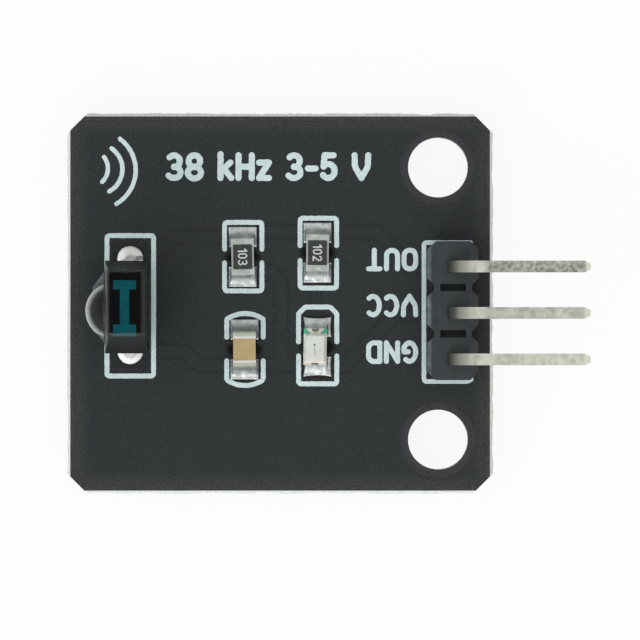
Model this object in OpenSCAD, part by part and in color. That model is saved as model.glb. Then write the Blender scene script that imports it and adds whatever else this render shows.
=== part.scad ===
// Infrared receiver breakout board: a snapped two-sided board with a leaded
// receiver, a three-pin right-angle header and four 0805 chip parts.
// The origin is midway between the two mounting holes, on the board's underside.
// X runs along the header pins, Y across the board, Z out of the parts side.

/* [Board] */
// Length of the board, from the receiver's edge to the header's edge
board_l = 23.5; // [23:0.1:30]
// Width of the board
board_w = 21; // [20.8:0.1:30]
// Thickness of the board over both solder masks
board_t = 1.6; // [1.2:0.1:2]
// Cut across each corner
corner_cut = 1.15; // [0.7:0.05:1.6]
// Depth of the scored groove in each face, along which the board was snapped off
score_depth = 0.46; // [0.3:0.02:0.5]
// Width of the groove's bevel, seen from above
score_inset = 0.19; // [0.1:0.01:0.3]
// Diameter of the mounting holes
hole_d = 3.3; // [2.6:0.1:3.5]
// Distance between the mounting holes
hole_spacing = 15; // [14.6:0.1:15.4]
// Distance from the mounting holes to the header's edge
hole_edge = 3.05; // [2.8:0.05:3.6]

/* [Copper, mask and ink] */
// Thickness of the copper foil
copper_t = 0.035; // [0.03:0.005:0.07]
// Thickness of the solder mask over copper
mask_t = 0.025; // [0.02:0.005:0.04]
// Width of the signal tracks
track_w = 0.55; // [0.4:0.01:0.6]
// Width of the track from the LED to its resistor
led_track_w = 0.4; // [0.3:0.02:0.6]
// Gap between a track and the copper area round it
copper_gap = 0.22; // [0.18:0.01:0.25]
// Width of the copper ring round a mounting hole
ring_w = 0.41; // [0.3:0.01:0.5]
// Bare strip between the copper area and the mask's edge
rim_w = 0.33; // [0.2:0.01:0.4]
// Width of the printed lines
ink_w = 0.28; // [0.15:0.01:0.3]
// Thickness of the printed lines
ink_t = 0.015; // [0.01:0.005:0.03]

/* [Header] */
// Distance between neighbouring pins
pitch = 2.54; // [2.54]
// Side of the square pins
pin_w = 0.64; // [0.5:0.02:0.66]
// Reach of the pins, from their upright leg to the tip
pin_reach = 7.5; // [5:0.1:10]
// Straight length of the pins between the housing and their bend
pin_straight = 0.05; // [0:0.05:0.5]
// Inside radius of the pins' bend
bend_r = 0.75; // [0.2:0.05:1]
// Length of the taper at each pin's tip
tip_l = 0.35; // [0.2:0.05:0.8]
// Depth of the housing along the pins
housing_d = 2.8; // [2.4:0.05:2.9]
// Height of the housing
housing_h = 2.5; // [2:0.05:3.5]
// Cut at the corners of each of the housing's units
housing_cut = 0.46; // [0.3:0.02:0.6]
// Width of the bevel along the housing's top edges
housing_bevel = 0.5; // [0.2:0.05:0.7]
// Width of the housing's neck between two units
neck_d = 2.07; // [1.8:0.01:2.2]
// Length of that neck
neck_l = 0.3; // [0.1:0.05:0.4]
// Length of the slot in the top of each neck
slot_l = 1.42; // [1:0.02:1.6]
// Width of those slots
slot_w = 0.41; // [0.3:0.01:0.5]
// Depth of those slots
slot_depth = 1.2; // [0.3:0.05:1.6]
// Distance of the printed bracket behind the pins
bracket_back = 1.58; // [1.56:0.01:2]
// Reach of the bracket's arms in front of the pins
bracket_reach = 1.1; // [0.5:0.02:1.6]
// Distance from the upright legs to the board's edge
header_edge = 2.25; // [1.9:0.05:2.6]
// Place of the middle pin across the board
header_y = -0.52; // [-0.8:0.02:0.4]
// Offset of the housing from its row of pins, across the board
housing_shift = 0.13; // [0:0.01:0.15]
// Diameter of the header's plated holes
header_hole_d = 1.1; // [1.08:0.01:1.2]
// Diameter of the header's pads
header_pad_d = 1.7; // [1.5:0.05:1.9]

/* [Receiver] */
// Width of the receiver's body at its foot
body_w = 5.06; // [4.9:0.02:5.6]
// Width of the shoulder on the upper pin's side of the body's top
shoulder_far = 0.53; // [0.3:0.05:0.6]
// Width of the shoulder on the other side
shoulder_near = 1; // [0.3:0.05:1.3]
// Height at which the shoulders start
shoulder_h = 3.8; // [3.6:0.1:4.6]
// Height of the body
body_h = 6.5; // [6.2:0.1:8]
// Distance from the lead plane to the front at the foot
body_front = 1.27; // [1.2:0.01:1.5]
// Distance from the lead plane to the front at the top
body_top_front = 1.07; // [0.8:0.01:1.15]
// Distance from the lead plane to the back at the foot
body_back = 1.18; // [1.1:0.01:1.4]
// Distance from the lead plane to the back at the top
body_top_back = 1.04; // [0.8:0.01:1.08]
// Clear height between the board and the body
standoff = 1.1; // [1:0.05:2]
// Radius of the lens on the front
lens_r = 1.6; // [1.4:0.01:1.7]
// Distance of the lens's axis in front of the lead plane
lens_x = 0.75; // [0.6:0.01:0.95]
// Offset of the lens across the body
lens_y = -0.2; // [-0.4:0.02:0.2]
// Half width of the nose under the lens, where it leaves the body
nose_w = 2.05; // [1.8:0.05:2.3]
// Half width of the nose at its front
nose_tip_w = 1.1; // [0.9:0.05:1.3]
// Distance from the lead plane to the front of the nose
nose_reach = 1.95; // [1.7:0.05:2.2]
// Height of the upper end of the lens above the foot of the body
lens_top = 5.0; // [4.6:0.1:5.2]
// Side of the square leads
lead_w = 0.5; // [0.4:0.02:0.5]
// Distance of the outer leads from the middle one where they leave the body
lead_exit = 1.85; // [1.7:0.05:1.9]
// Width of the folded shield inside the body
shield_w = 2.9; // [2.6:0.05:2.9]
// Depth of the shield's folded sides
shield_d = 1.24; // [1:0.02:1.3]
// Distance from the top of the shield to the top of the body
shield_drop = 0.45; // [0.3:0.05:0.8]
// Set-back of the shield from the leads, towards the lens
downset = 0.15; // [0.1:0.05:0.2]
// Shift of the leads in their holes, across the board
receiver_shift = -0.12; // [-0.12:0.02:0.12]
// Distance from the leads to the board's edge
receiver_edge = 3.49; // [3.4:0.05:4]
// Place of the middle lead across the board
receiver_y = -0.08; // [-0.4:0.02:0.4]
// Diameter of the receiver's plated holes
receiver_hole_d = 1; // [1:0.01:1.1]
// Diameter of the receiver's pads
receiver_pad_d = 1.48; // [1.4:0.02:1.6]

/* [Chip parts] */
// Length of the chip parts
chip_l = 2; // [1.9:0.02:2.1]
// Width of the chip parts
chip_w = 1.27; // [1.2:0.01:1.35]
// Height of the resistors' ceramic
resistor_h = 0.5; // [0.4:0.05:0.65]
// Length of the resistors' printed cover
cover_l = 1.36; // [1.1:0.02:1.4]
// Width of the resistors' printed cover
cover_w = 1.04; // [0.9:0.01:1.06]
// Height of the capacitor
capacitor_h = 0.85; // [0.6:0.05:1.25]
// Length of the end terminals
terminal_l = 0.4; // [0.3:0.02:0.5]
// Thickness of the end terminals' plating
plating_t = 0.02; // [0.015:0.005:0.03]
// Height of the LED's base
led_base_h = 0.35; // [0.25:0.05:0.5]
// Height of the LED's lens
led_lens_h = 0.45; // [0.35:0.05:0.7]
// Length of the LED's lens
led_lens_l = 1.6; // [1.3:0.02:1.64]
// Shift of the LED's lens along its base, away from the marks
led_lens_shift = 0.1; // [0:0.01:0.12]
// Radius of the notch in each end of the LED
led_notch_r = 0.2; // [0.12:0.01:0.25]
// Turn of the pull-up resistor on its pads, in degrees
pullup_turn = 1.5; // [-3:0.5:3]
// Turn of the LED's resistor on its pads, in degrees
led_resistor_turn = -0.5; // [-3:0.5:3]
// Turn of the capacitor on its pads, in degrees
capacitor_turn = 0.5; // [-3:0.5:3]
// Turn of the LED on its pads, in degrees
led_turn = -1; // [-3:0.5:3]
// Sideways shift of the LED on its pads
led_shift = -0.13; // [-0.14:0.01:0.1]
// Length of the pads
pad_l = 1.15; // [1.1:0.01:1.2]
// Width of the pads
pad_w = 1.58; // [1.54:0.01:1.6]
// Overall length of a pair of pads
pads_span = 3.34; // [3.3:0.01:3.4]
// Distance between the two columns of chip parts
column_gap = 4.12; // [4:0.02:4.6]

/* [Solder] */
// Length of the leads and pins below the board
stub_l = 1.1; // [0.9:0.05:1.6]
// Height of the solder cones under the board
cone_h = 0.75; // [0.5:0.05:0.8]
// Thickness of the solder between a pad and its part
solder_film = 0.03; // [0.02:0.005:0.05]

/* [Hidden] */
$fn = 48;

// Heights of the layers, from the underside up
core_z = mask_t + copper_t;
core_top = board_t - core_z;
foil_top = core_top + copper_t;
sunk_t = copper_t - 0.005;
side_cover = 0.03;
barrel_t = 0.03;
mask_margin = 0.05;
foot_channel = 0.3;
bracket_y = -0.48;

// Receiver: end of the nose under the lens's dome, shield, bends of the leads, chips
nose_drop = 0.1;
shield_foot = 1.3;
shield_head = body_h - shield_drop;
lead_foot = -standoff - board_t - stub_l;
lead_lap = 1;
jog_drop = 0.95;
jog_rise = 0.7;
lead_hold = 3;
diode_size = [0.25, 1.5, 1.5];
amplifier_size = [0.25, 1.2, 1];

// Solder: part of a lead's width that is wetted, toe and margin of the fillets
wetted = 0.78;
toe_t = 0.04;
fillet_margin = 0.04;
fillet_side = 0.08;
fillet_hollow = 1.2;
dome_h = 0.25;
cover_t = 0.05;
lens_draft = 0.1;
lens_gap = 0.04;
lens_side = 0.04;
led_lens_w = chip_w - 2 * lens_side;
led_chip_w = 0.25;
led_chip_t = 0.12;
mark_w = 0.26;
mark_l = (chip_l - led_lens_l) / 2 + led_lens_shift - lens_gap;
mark_t = 0.02;
pad_z = foil_top + solder_film;
tip_w = 0.5 * pin_w;

// Printed frames: room round the pads, openings in their sides, corner cuts
frame_l = pads_span + 0.46;
frame_w = pad_w + 0.48;
resistor_opening = 0.62;
capacitor_frame_l = frame_l + 0.22;
capacitor_opening = 1;
capacitor_arch_r = 2.75;
led_frame_l = frame_l + 0.46;
led_opening = 0.55;
led_slant = 0.42;
led_slant_in = 0.3;

// Places on the board
edge_x = hole_edge;
mid_x = edge_x - board_l / 2;
receiver_x = edge_x - board_l + receiver_edge;
header_x = edge_x - header_edge;
pullup_at = [mid_x - column_gap / 2, 2.57];
led_resistor_at = [mid_x + column_gap / 2, 2.8];
capacitor_at = [mid_x - column_gap / 2 + 0.1, -2.53];
led_at = [mid_x + column_gap / 2, -2.38];
led_frame_at = led_at + [0, 0.07];
chip_places = [pullup_at, led_resistor_at, capacitor_at, led_at];
header_at = [for (k = [1, 0, -1]) [header_x, header_y + k * pitch]];
receiver_at = [for (k = [1, 0, -1]) [receiver_x, receiver_y + k * pitch]];
mounting_at = [[0, hole_spacing / 2], [0, -hole_spacing / 2]];
pad_mid = (pads_span - pad_l) / 2;

// Tracks, each a list of corners; a run is the level stretch before a track's slope
out_run = 1.25;
out_end_run = 3.24;
supply_run = 3;
supply_end_run = 1.55;
drop_cut = 0.58;
led_track_x = led_at[0] - 0.06;
supply_y = led_at[1] - pad_mid + 0.1;
bus_y = pullup_at[1] + pads_span / 2 - track_w / 2;
drop_x = mid_x + 0.08;
pullup_foot_y = pullup_at[1] - pads_span / 2 + pad_l - track_w / 2;
tracks = [
    step45(receiver_at[0], [pullup_at[0], pullup_at[1] + pad_mid], out_run),
    [[pullup_at[0], bus_y], [led_resistor_at[0], bus_y]],
    step45([led_resistor_at[0], bus_y], header_at[0], out_end_run),
    [[pullup_at[0], pullup_foot_y], [drop_x - drop_cut, pullup_foot_y],
     [drop_x, pullup_foot_y - drop_cut], [drop_x, supply_y]],
    step45(receiver_at[2], [capacitor_at[0], supply_y], supply_run),
    [[capacitor_at[0], supply_y], [led_at[0], supply_y]],
    step45([led_at[0], supply_y], header_at[1], supply_end_run)
];
led_track = [[led_track_x, led_resistor_at[1] - pad_mid],
             [led_track_x, led_at[1] + pad_mid]];

// A level run of length first, a 45 degree stretch, and a level run to the end
function step45(a, b, first) =
    let (rise = abs(b[1] - a[1]))
    [a, [a[0] + first, a[1]], [a[0] + first + rise, b[1]], b];

// Outline of a line of corners drawn w wide, with mitred corners
function side(a, b) = [a[1] - b[1], b[0] - a[0]] / norm(b - a);
function mitre(p, i) =
    let (n = len(p) - 1,
         u = side(p[max(i - 1, 0)], p[max(i, 1)]),
         v = side(p[min(i, n - 1)], p[min(i + 1, n)]))
    (u + v) / (1 + u * v);
function stroke(p, w) = concat(
    [for (i = [0 : len(p) - 1]) p[i] + mitre(p, i) * w / 2],
    [for (i = [len(p) - 1 : -1 : 0]) p[i] - mitre(p, i) * w / 2]);

// Centre of the circle of radius r through a and b, on the left of the way from a to b
function arc_centre(a, b, r) =
    (a + b) / 2 + side(a, b) * sqrt(r * r - pow(norm(b - a) / 2, 2));

module centred(size) {
    translate([-size[0] / 2, -size[1] / 2]) square([size[0], size[1]]);
}

module block(size, z) {
    translate([-size[0] / 2, -size[1] / 2, z]) cube(size);
}

// Board outline, set in by inset on the four scored sides
module outline(inset) {
    l = board_l / 2 - inset;
    w = board_w / 2 - inset;
    c = max(corner_cut - 2 * inset, 0.05);
    translate([mid_x, 0])
        polygon([[-l, w - c], [-l + c, w], [l - c, w], [l, w - c],
                 [l, c - w], [l - c, -w], [c - l, -w], [-l, c - w]]);
}

module round_places(places, r) {
    for (p = places) translate(p) circle(r);
}

// A side view of the scored board, l long between its snapped edges
module scored_profile(l) {
    f = l / 2 - score_inset;
    polygon([[-f, core_z], [-l / 2, core_z + score_depth], [-l / 2, core_top - score_depth],
             [-f, core_top], [f, core_top], [l / 2, core_top - score_depth],
             [l / 2, core_z + score_depth], [f, core_z]]);
}

module board_core() {
    color([0.80, 0.80, 0.68])
    difference() {
        intersection() {
            translate([mid_x, board_w, 0]) rotate([90, 0, 0])
                linear_extrude(2 * board_w) scored_profile(board_l);
            translate([mid_x - board_l, 0, 0]) rotate([90, 0, 90])
                linear_extrude(2 * board_l) scored_profile(board_w);
            linear_extrude(board_t) outline(0);
        }
        translate([0, 0, -1]) linear_extrude(board_t + 2) {
            round_places(mounting_at, hole_d / 2);
            round_places(header_at, header_hole_d / 2 + barrel_t);
            round_places(receiver_at, receiver_hole_d / 2 + barrel_t);
        }
    }
}

// The signal tracks, drawn wider by grow on each side
module tracks_drawn(grow) {
    for (t = tracks) polygon(stroke(t, track_w + 2 * grow));
    polygon(stroke(led_track, led_track_w + 2 * grow));
}

module pad_pairs(grow) {
    for (p = chip_places, s = [-1, 1])
        translate([p[0], p[1] + s * pad_mid])
            centred([pad_w + 2 * grow, pad_l + 2 * grow]);
}

// Where the copper area is taken away, less shrink on each side
module cleared(shrink) {
    g = copper_gap - shrink;
    tracks_drawn(g);
    for (p = chip_places)
        translate(p) centred([pad_w + 2 * g, pads_span + 2 * g]);
    translate([receiver_x, receiver_y])
        centred([receiver_pad_d + 2 * g, 2 * pitch + receiver_pad_d + 2 * g]);
    round_places(header_at, header_pad_d / 2 + g);
    round_places(mounting_at, hole_d / 2 + ring_w + g);
}

// The bridges that join the ground pads to the copper area
module ground_bridges(grow) {
    w = led_track_w + 2 * grow;
    translate([receiver_at[1][0], receiver_at[1][1]])
        centred([receiver_pad_d + 3 * copper_gap, w]);
    translate([header_at[2][0], header_at[2][1]])
        centred([header_pad_d + 3 * copper_gap, w]);
    translate([capacitor_at[0], capacitor_at[1] + pads_span / 2])
        centred([w, 3 * copper_gap]);
}

module top_foil_shape(grow) {
    difference() {
        outline(score_inset + rim_w - grow);
        cleared(grow);
    }
    tracks_drawn(grow);
    ground_bridges(grow);
    round_places(mounting_at, hole_d / 2 + ring_w + grow);
}

module bottom_foil_shape(grow) {
    g = copper_gap - grow;
    difference() {
        outline(score_inset + rim_w - grow);
        round_places(header_at, header_pad_d / 2 + g);
        round_places(receiver_at, receiver_pad_d / 2 + g);
        round_places(mounting_at, hole_d / 2 + ring_w + g);
    }
    for (p = [header_at[2], receiver_at[1]])
        translate(p) centred([header_pad_d + 3 * copper_gap, led_track_w + 2 * grow]);
    round_places(mounting_at, hole_d / 2 + ring_w + grow);
}

module leaded_pads(grow) {
    round_places(header_at, header_pad_d / 2 + grow);
    round_places(receiver_at, receiver_pad_d / 2 + grow);
}

module drilled(plating) {
    round_places(mounting_at, hole_d / 2);
    round_places(header_at, header_hole_d / 2 + plating);
    round_places(receiver_at, receiver_hole_d / 2 + plating);
}

module copper_top() {
    color([0.72, 0.45, 0.25])
    translate([0, 0, core_top]) linear_extrude(copper_t)
    difference() {
        union() {
            top_foil_shape(0);
            pad_pairs(0);
            leaded_pads(0);
        }
        drilled(barrel_t);
    }
}

module copper_bottom() {
    color([0.72, 0.45, 0.25])
    translate([0, 0, mask_t]) linear_extrude(copper_t)
    difference() {
        union() {
            bottom_foil_shape(0);
            leaded_pads(0);
        }
        drilled(barrel_t);
    }
}

module hole_barrels() {
    color([0.75, 0.74, 0.70])
    translate([0, 0, mask_t]) linear_extrude(foil_top - mask_t) {
        for (p = header_at) translate(p) difference() {
            circle(header_hole_d / 2 + barrel_t);
            circle(header_hole_d / 2);
        }
        for (p = receiver_at) translate(p) difference() {
            circle(receiver_hole_d / 2 + barrel_t);
            circle(receiver_hole_d / 2);
        }
    }
}

// A mask over foil of one shape: thin over the bare board, raised over the foil
module solder_mask_top() {
    color([0.19, 0.21, 0.22])
    difference() {
        translate([0, 0, core_top]) {
            linear_extrude(sunk_t) difference() {
                outline(score_inset);
                drilled(barrel_t);
            }
            linear_extrude(copper_t + mask_t) difference() {
                top_foil_shape(side_cover);
                drilled(barrel_t);
            }
        }
        translate([0, 0, core_top]) linear_extrude(copper_t) difference() {
            top_foil_shape(0);
            drilled(0);
        }
        translate([0, 0, core_top - 1]) linear_extrude(2) {
            pad_pairs(mask_margin);
            leaded_pads(mask_margin);
        }
    }
}

module solder_mask_bottom() {
    color([0.19, 0.21, 0.22])
    difference() {
        union() {
            translate([0, 0, core_z - sunk_t]) linear_extrude(sunk_t) difference() {
                outline(score_inset);
                drilled(barrel_t);
            }
            linear_extrude(core_z) difference() {
                bottom_foil_shape(side_cover);
                drilled(barrel_t);
            }
        }
        translate([0, 0, mask_t]) linear_extrude(copper_t) difference() {
            bottom_foil_shape(0);
            drilled(0);
        }
        translate([0, 0, -1]) linear_extrude(2) leaded_pads(mask_margin);
    }
}

// Printed outlines of the parts
module hollow_box(size) {
    difference() {
        centred([size[0] + ink_w, size[1] + ink_w]);
        centred([size[0] - ink_w, size[1] - ink_w]);
    }
}

// Openings in the two long sides of a frame, gap long
module side_gaps(gap) {
    for (s = [-1, 1]) translate([s * frame_w / 2, 0]) centred([2 * ink_w, gap]);
}

module resistor_frame() {
    difference() {
        hollow_box([frame_w, frame_l]);
        side_gaps(resistor_opening);
    }
}

// A box l long between the crowns of its two arched ends
module arched_box(w, l, r) {
    centred([w, l / 2]);
    for (s = [-1, 1]) intersection() {
        translate([0, s * l / 4]) centred([w, l / 2]);
        translate([0, s * (l / 2 - r)]) circle(r);
    }
}

module capacitor_frame() {
    l = capacitor_frame_l;
    r = capacitor_arch_r;
    difference() {
        arched_box(frame_w + ink_w, l + ink_w, r + ink_w / 2);
        arched_box(frame_w - ink_w, l - ink_w, r - ink_w / 2);
        side_gaps(capacitor_opening);
    }
}

module cut_box(l, w, c) {
    polygon([[-w / 2, -l / 2], [w / 2, -l / 2], [w / 2, l / 2 - c],
             [w / 2 - c, l / 2], [c - w / 2, l / 2], [-w / 2, l / 2 - c]]);
}

module led_frame() {
    difference() {
        cut_box(led_frame_l + ink_w, frame_w + ink_w, led_slant);
        cut_box(led_frame_l - ink_w, frame_w - ink_w, led_slant_in);
        side_gaps(led_opening);
    }
}

module header_bracket() {
    l = bracket_back + bracket_reach;
    translate([header_x, bracket_y]) difference() {
        translate([bracket_reach - l / 2, 0]) centred([l + ink_w / 2, 3 * pitch + ink_w]);
        translate([bracket_reach - l / 2 + ink_w, 0]) centred([l + ink_w / 2, 3 * pitch - ink_w]);
    }
}

module frames_drawn() {
    translate([receiver_x, receiver_y]) hollow_box([pitch, 3 * pitch]);
    header_bracket();
    translate(pullup_at) resistor_frame();
    translate(led_resistor_at) resistor_frame();
    translate(capacitor_at) capacitor_frame();
    translate(led_frame_at) led_frame();
}

module legend_frames() {
    color([0.72, 0.79, 0.80]) {
        translate([0, 0, board_t]) linear_extrude(ink_t) frames_drawn();
        translate([0, 0, core_top + sunk_t]) linear_extrude(board_t - core_top - sunk_t)
            difference() {
                frames_drawn();
                top_foil_shape(side_cover);
            }
    }
}

// Profile of the housing across the pins, with its top edges bevelled
module housing_profile() {
    d = housing_d / 2;
    b = housing_bevel;
    polygon([[-d, 0], [d, 0], [d, housing_h - b], [d - b, housing_h],
             [b - d, housing_h], [-d, housing_h - b]]);
}

// Front edge of one of the housing's octagonal units; it ends in a neck or an end cut
function unit_edge(k) =
    let (d = housing_d / 2, l = pitch / 2, c = housing_cut,
         n = neck_d / 2, f = l - neck_l / 2, g = f - (d - n))
    [k == -1 ? [d - c, -l] : [n, -f], [d, k == -1 ? c - l : -g],
     [d, k == 1 ? l - c : g], k == 1 ? [d - c, l] : [n, f]];

// The whole front edge, from one end of the housing to the other
housing_edge = [for (k = [-1 : 1], p = unit_edge(k)) p + [0, k * pitch]];

module housing_outline() {
    n = len(housing_edge);
    polygon(concat(housing_edge,
                   [for (i = [n - 1 : -1 : 0]) [-housing_edge[i][0], housing_edge[i][1]]]));
}

module header_housing() {
    color([0.24, 0.27, 0.28])
    translate([header_x, header_y, board_t + ink_t])
    difference() {
        translate([0, housing_shift, 0]) intersection() {
            linear_extrude(housing_h) housing_outline();
            translate([0, 2 * pitch, 0]) rotate([90, 0, 0])
                linear_extrude(4 * pitch) housing_profile();
        }
        for (k = [-1 : 1]) translate([0, k * pitch]) {
            block([pin_w, pin_w, housing_h + 2], -1);
            block([housing_d + 1, pin_w, foot_channel], 0);
        }
        for (k = [-0.5, 0.5]) translate([0, k * pitch + housing_shift])
            block([slot_l, slot_w, slot_depth + 1], housing_h - slot_depth);
    }
}

// One bent pin, with its upright leg at the origin and its foot below the board
module header_pin(y) {
    turn = bend_r + pin_w / 2;
    arm_z = board_t + ink_t + housing_h + pin_straight + turn;
    h = pin_w / 2;
    t = tip_w / 2;
    translate([header_x, y, 0]) {
        translate([0, 0, -stub_l]) linear_extrude(arm_z - turn + stub_l)
            centred([pin_w, pin_w]);
        translate([turn, 0, arm_z - turn]) rotate([90, 0, 0])
            rotate([0, 0, 90]) rotate_extrude(angle = 90)
                translate([turn, 0]) centred([pin_w, pin_w]);
        translate([0, 0, arm_z]) intersection() {
            translate([0, 0, -h]) linear_extrude(pin_w) arm_outline(turn, h, t);
            translate([0, h, 0]) rotate([90, 0, 0]) linear_extrude(pin_w)
                arm_outline(turn, h, t);
        }
    }
}

// Outline of a pin's arm from the bend to its tapered tip
module arm_outline(from, half, tip_half) {
    polygon([[from, -half], [pin_reach - tip_l, -half], [pin_reach, -tip_half],
             [pin_reach, tip_half], [pin_reach - tip_l, half], [from, half]]);
}

module header_pin_out() { color([0.78, 0.76, 0.68]) header_pin(header_at[0][1]); }
module header_pin_supply() { color([0.78, 0.76, 0.68]) header_pin(header_at[1][1]); }
module header_pin_ground() { color([0.78, 0.76, 0.68]) header_pin(header_at[2][1]); }

// Solder in a plated hole: a cone below, the filling, and a low dome above
module joint(pad_r, hole_r, wire_r, dome_h) {
    top = foil_top + dome_h;
    rotate_extrude()
        polygon(concat([[0, mask_t - cone_h], [wire_r, mask_t - cone_h],
                        [pad_r, mask_t], [hole_r, mask_t], [hole_r, foil_top]],
                       dome_h > 0 ? [[pad_r, foil_top], [wire_r, top], [0, top]]
                                  : [[0, foil_top]]));
}

module header_solder() {
    color([0.78, 0.78, 0.76])
    for (p = header_at) difference() {
        translate(p) joint(header_pad_d / 2, header_hole_d / 2, wetted * pin_w, 0);
        translate(p) block([pin_w, pin_w, board_t + 2 * stub_l + 2], -stub_l - 1);
    }
}

// Places what belongs to the receiver: origin on the lead plane at the body's foot
module seated() {
    translate([receiver_x, receiver_y + receiver_shift, board_t + standoff]) children();
}

// Outline of the body seen from its back, with two unlike shoulders
module body_front_outline() {
    w = body_w / 2;
    polygon([[-w, 0], [w, 0], [w, shoulder_h], [w - shoulder_far, body_h],
             [shoulder_near - w, body_h], [-w, shoulder_h]]);
}

// Outline of the body seen from its end, with a front and back that lean in above the shoulders
module body_side_outline() {
    polygon([[-body_front, 0], [body_back, 0], [body_back, shoulder_h],
             [body_top_back, body_h], [-body_top_front, body_h],
             [-body_front, shoulder_h]]);
}

// The lens stands on the nose as a round pillar with a domed end
module lens_form() {
    translate([-lens_x, lens_y, 0]) rotate_extrude() {
        square([lens_r, lens_top - lens_r]);
        translate([0, lens_top - lens_r]) intersection() {
            circle(lens_r);
            square(lens_r + 1);
        }
    }
}

module body_block() {
    intersection() {
        translate([-2 * body_front, 0, 0]) rotate([90, 0, 90])
            linear_extrude(4 * body_front) body_front_outline();
        translate([0, body_w, 0]) rotate([90, 0, 0])
            linear_extrude(2 * body_w) body_side_outline();
    }
    linear_extrude(lens_top - lens_r - nose_drop)
        polygon([[0, -nose_w], [-body_front, -nose_w], [-nose_reach, -nose_tip_w],
                 [-nose_reach, nose_tip_w], [-body_front, nose_w], [0, nose_w]]);
    lens_form();
}

// The folded shield seen from above: a web with a wall at each end
module shield_plan() {
    translate([-downset, 0]) {
        centred([lead_w, shield_w]);
        for (s = [-1, 1]) translate([0, s * (shield_w - lead_w) / 2])
            centred([shield_d, lead_w]);
    }
}

module ground_lead_shape() {
    translate([0, 0, shield_foot]) linear_extrude(shield_head - shield_foot) shield_plan();
    block([lead_w, lead_w, shield_foot + lead_lap - lead_foot], lead_foot);
}

// An outer lead on side s, jogged outwards between the body and the board
module outer_lead_shape(s) {
    translate([-lead_w / 2, 0, 0]) rotate([90, 0, 90]) linear_extrude(lead_w)
        polygon(stroke([[s * pitch, lead_foot], [s * pitch, -jog_drop],
                        [s * lead_exit, jog_rise - jog_drop], [s * lead_exit, lead_hold]],
                       lead_w));
}

module on_shield(size, z) {
    translate([-downset - (lead_w + size[0]) / 2, 0, 0]) block(size, z);
}

module diode_shape() { on_shield(diode_size, lens_top - lens_r - diode_size[2] / 2); }
module amplifier_shape() { on_shield(amplifier_size, shield_foot + 0.1); }

module receiver_body() {
    color([0.07, 0.16, 0.17]) seated() difference() {
        body_block();
        ground_lead_shape();
        outer_lead_shape(1);
        outer_lead_shape(-1);
        diode_shape();
        amplifier_shape();
    }
}

module receiver_lead_out() { color([0.74, 0.75, 0.74]) seated() outer_lead_shape(1); }
module receiver_lead_ground() { color([0.74, 0.75, 0.74]) seated() ground_lead_shape(); }
module receiver_lead_supply() { color([0.74, 0.75, 0.74]) seated() outer_lead_shape(-1); }
module receiver_photodiode() { color([0.2, 0.25, 0.4]) seated() diode_shape(); }
module receiver_amplifier_chip() { color([0.45, 0.45, 0.5]) seated() amplifier_shape(); }

module receiver_solder() {
    color([0.78, 0.78, 0.76])
    difference() {
        for (p = receiver_at) translate(p)
            joint(receiver_pad_d / 2, receiver_hole_d / 2, wetted * lead_w, dome_h);
        seated() {
            ground_lead_shape();
            outer_lead_shape(1);
            outer_lead_shape(-1);
        }
    }
}

// Chip parts: each module is drawn about the part's centre, on the solder film
module chip_place(p, turn) {
    translate([p[0], p[1], pad_z]) rotate([0, 0, turn]) children();
}

// Ceramic of height h inside the end plating
module ceramic(h) {
    block([chip_w - 2 * plating_t, chip_l - 2 * plating_t, h - 2 * plating_t], plating_t);
}

// The plated ends round a ceramic of height h
module terminals(h) {
    for (s = [-1, 1]) difference() {
        translate([0, s * (chip_l - terminal_l) / 2]) block([chip_w, terminal_l, h], 0);
        ceramic(h);
    }
}

// Solder at both ends: a film below and a fillet that climbs to rise
module chip_solder(rise) {
    reach = pads_span / 2 - fillet_margin;
    inner = pads_span / 2 - pad_l + fillet_margin;
    w = chip_w + 2 * fillet_side;
    for (s = [0, 1]) mirror([0, s, 0]) {
        translate([0, (reach + inner) / 2, 0])
            block([pad_w - 2 * fillet_margin, reach - inner, solder_film], -solder_film);
        translate([-w / 2, 0, 0]) rotate([90, 0, 90])
            linear_extrude(w) fillet_profile(reach, rise);
    }
}

// Section of a solder fillet, hollowed by an arc, from the part's end to reach
module fillet_profile(reach, rise) {
    foot = chip_l / 2;
    a = [reach, toe_t];
    b = [foot, rise];
    r = fillet_hollow * norm(b - a);
    difference() {
        polygon([[foot, 0], [reach, 0], a, b]);
        translate(arc_centre(b, a, r)) circle(r);
    }
}

// Printed cover of a resistor, lapping a little over the end plating
module cover(h) {
    difference() {
        block([cover_w, cover_l, cover_t], h - plating_t);
        terminals(h);
    }
}

module pullup_resistor_ceramic() {
    color([0.86, 0.84, 0.76]) chip_place(pullup_at, pullup_turn) ceramic(resistor_h);
}
module pullup_resistor_cover() {
    color([0.20, 0.19, 0.16]) chip_place(pullup_at, pullup_turn) cover(resistor_h);
}
module pullup_resistor_terminals() {
    color([0.76, 0.75, 0.70]) chip_place(pullup_at, pullup_turn) terminals(resistor_h);
}
module pullup_resistor_solder() {
    color([0.78, 0.78, 0.76]) chip_place(pullup_at, pullup_turn) chip_solder(0.8 * resistor_h);
}
module led_resistor_ceramic() {
    color([0.86, 0.84, 0.76]) chip_place(led_resistor_at, led_resistor_turn) ceramic(resistor_h);
}
module led_resistor_cover() {
    color([0.20, 0.19, 0.16]) chip_place(led_resistor_at, led_resistor_turn) cover(resistor_h);
}
module led_resistor_terminals() {
    color([0.76, 0.75, 0.70]) chip_place(led_resistor_at, led_resistor_turn) terminals(resistor_h);
}
module led_resistor_solder() {
    color([0.78, 0.78, 0.76]) chip_place(led_resistor_at, led_resistor_turn)
        chip_solder(0.8 * resistor_h);
}
module capacitor_ceramic() {
    color([0.69, 0.59, 0.42]) chip_place(capacitor_at, capacitor_turn) ceramic(capacitor_h);
}
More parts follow.
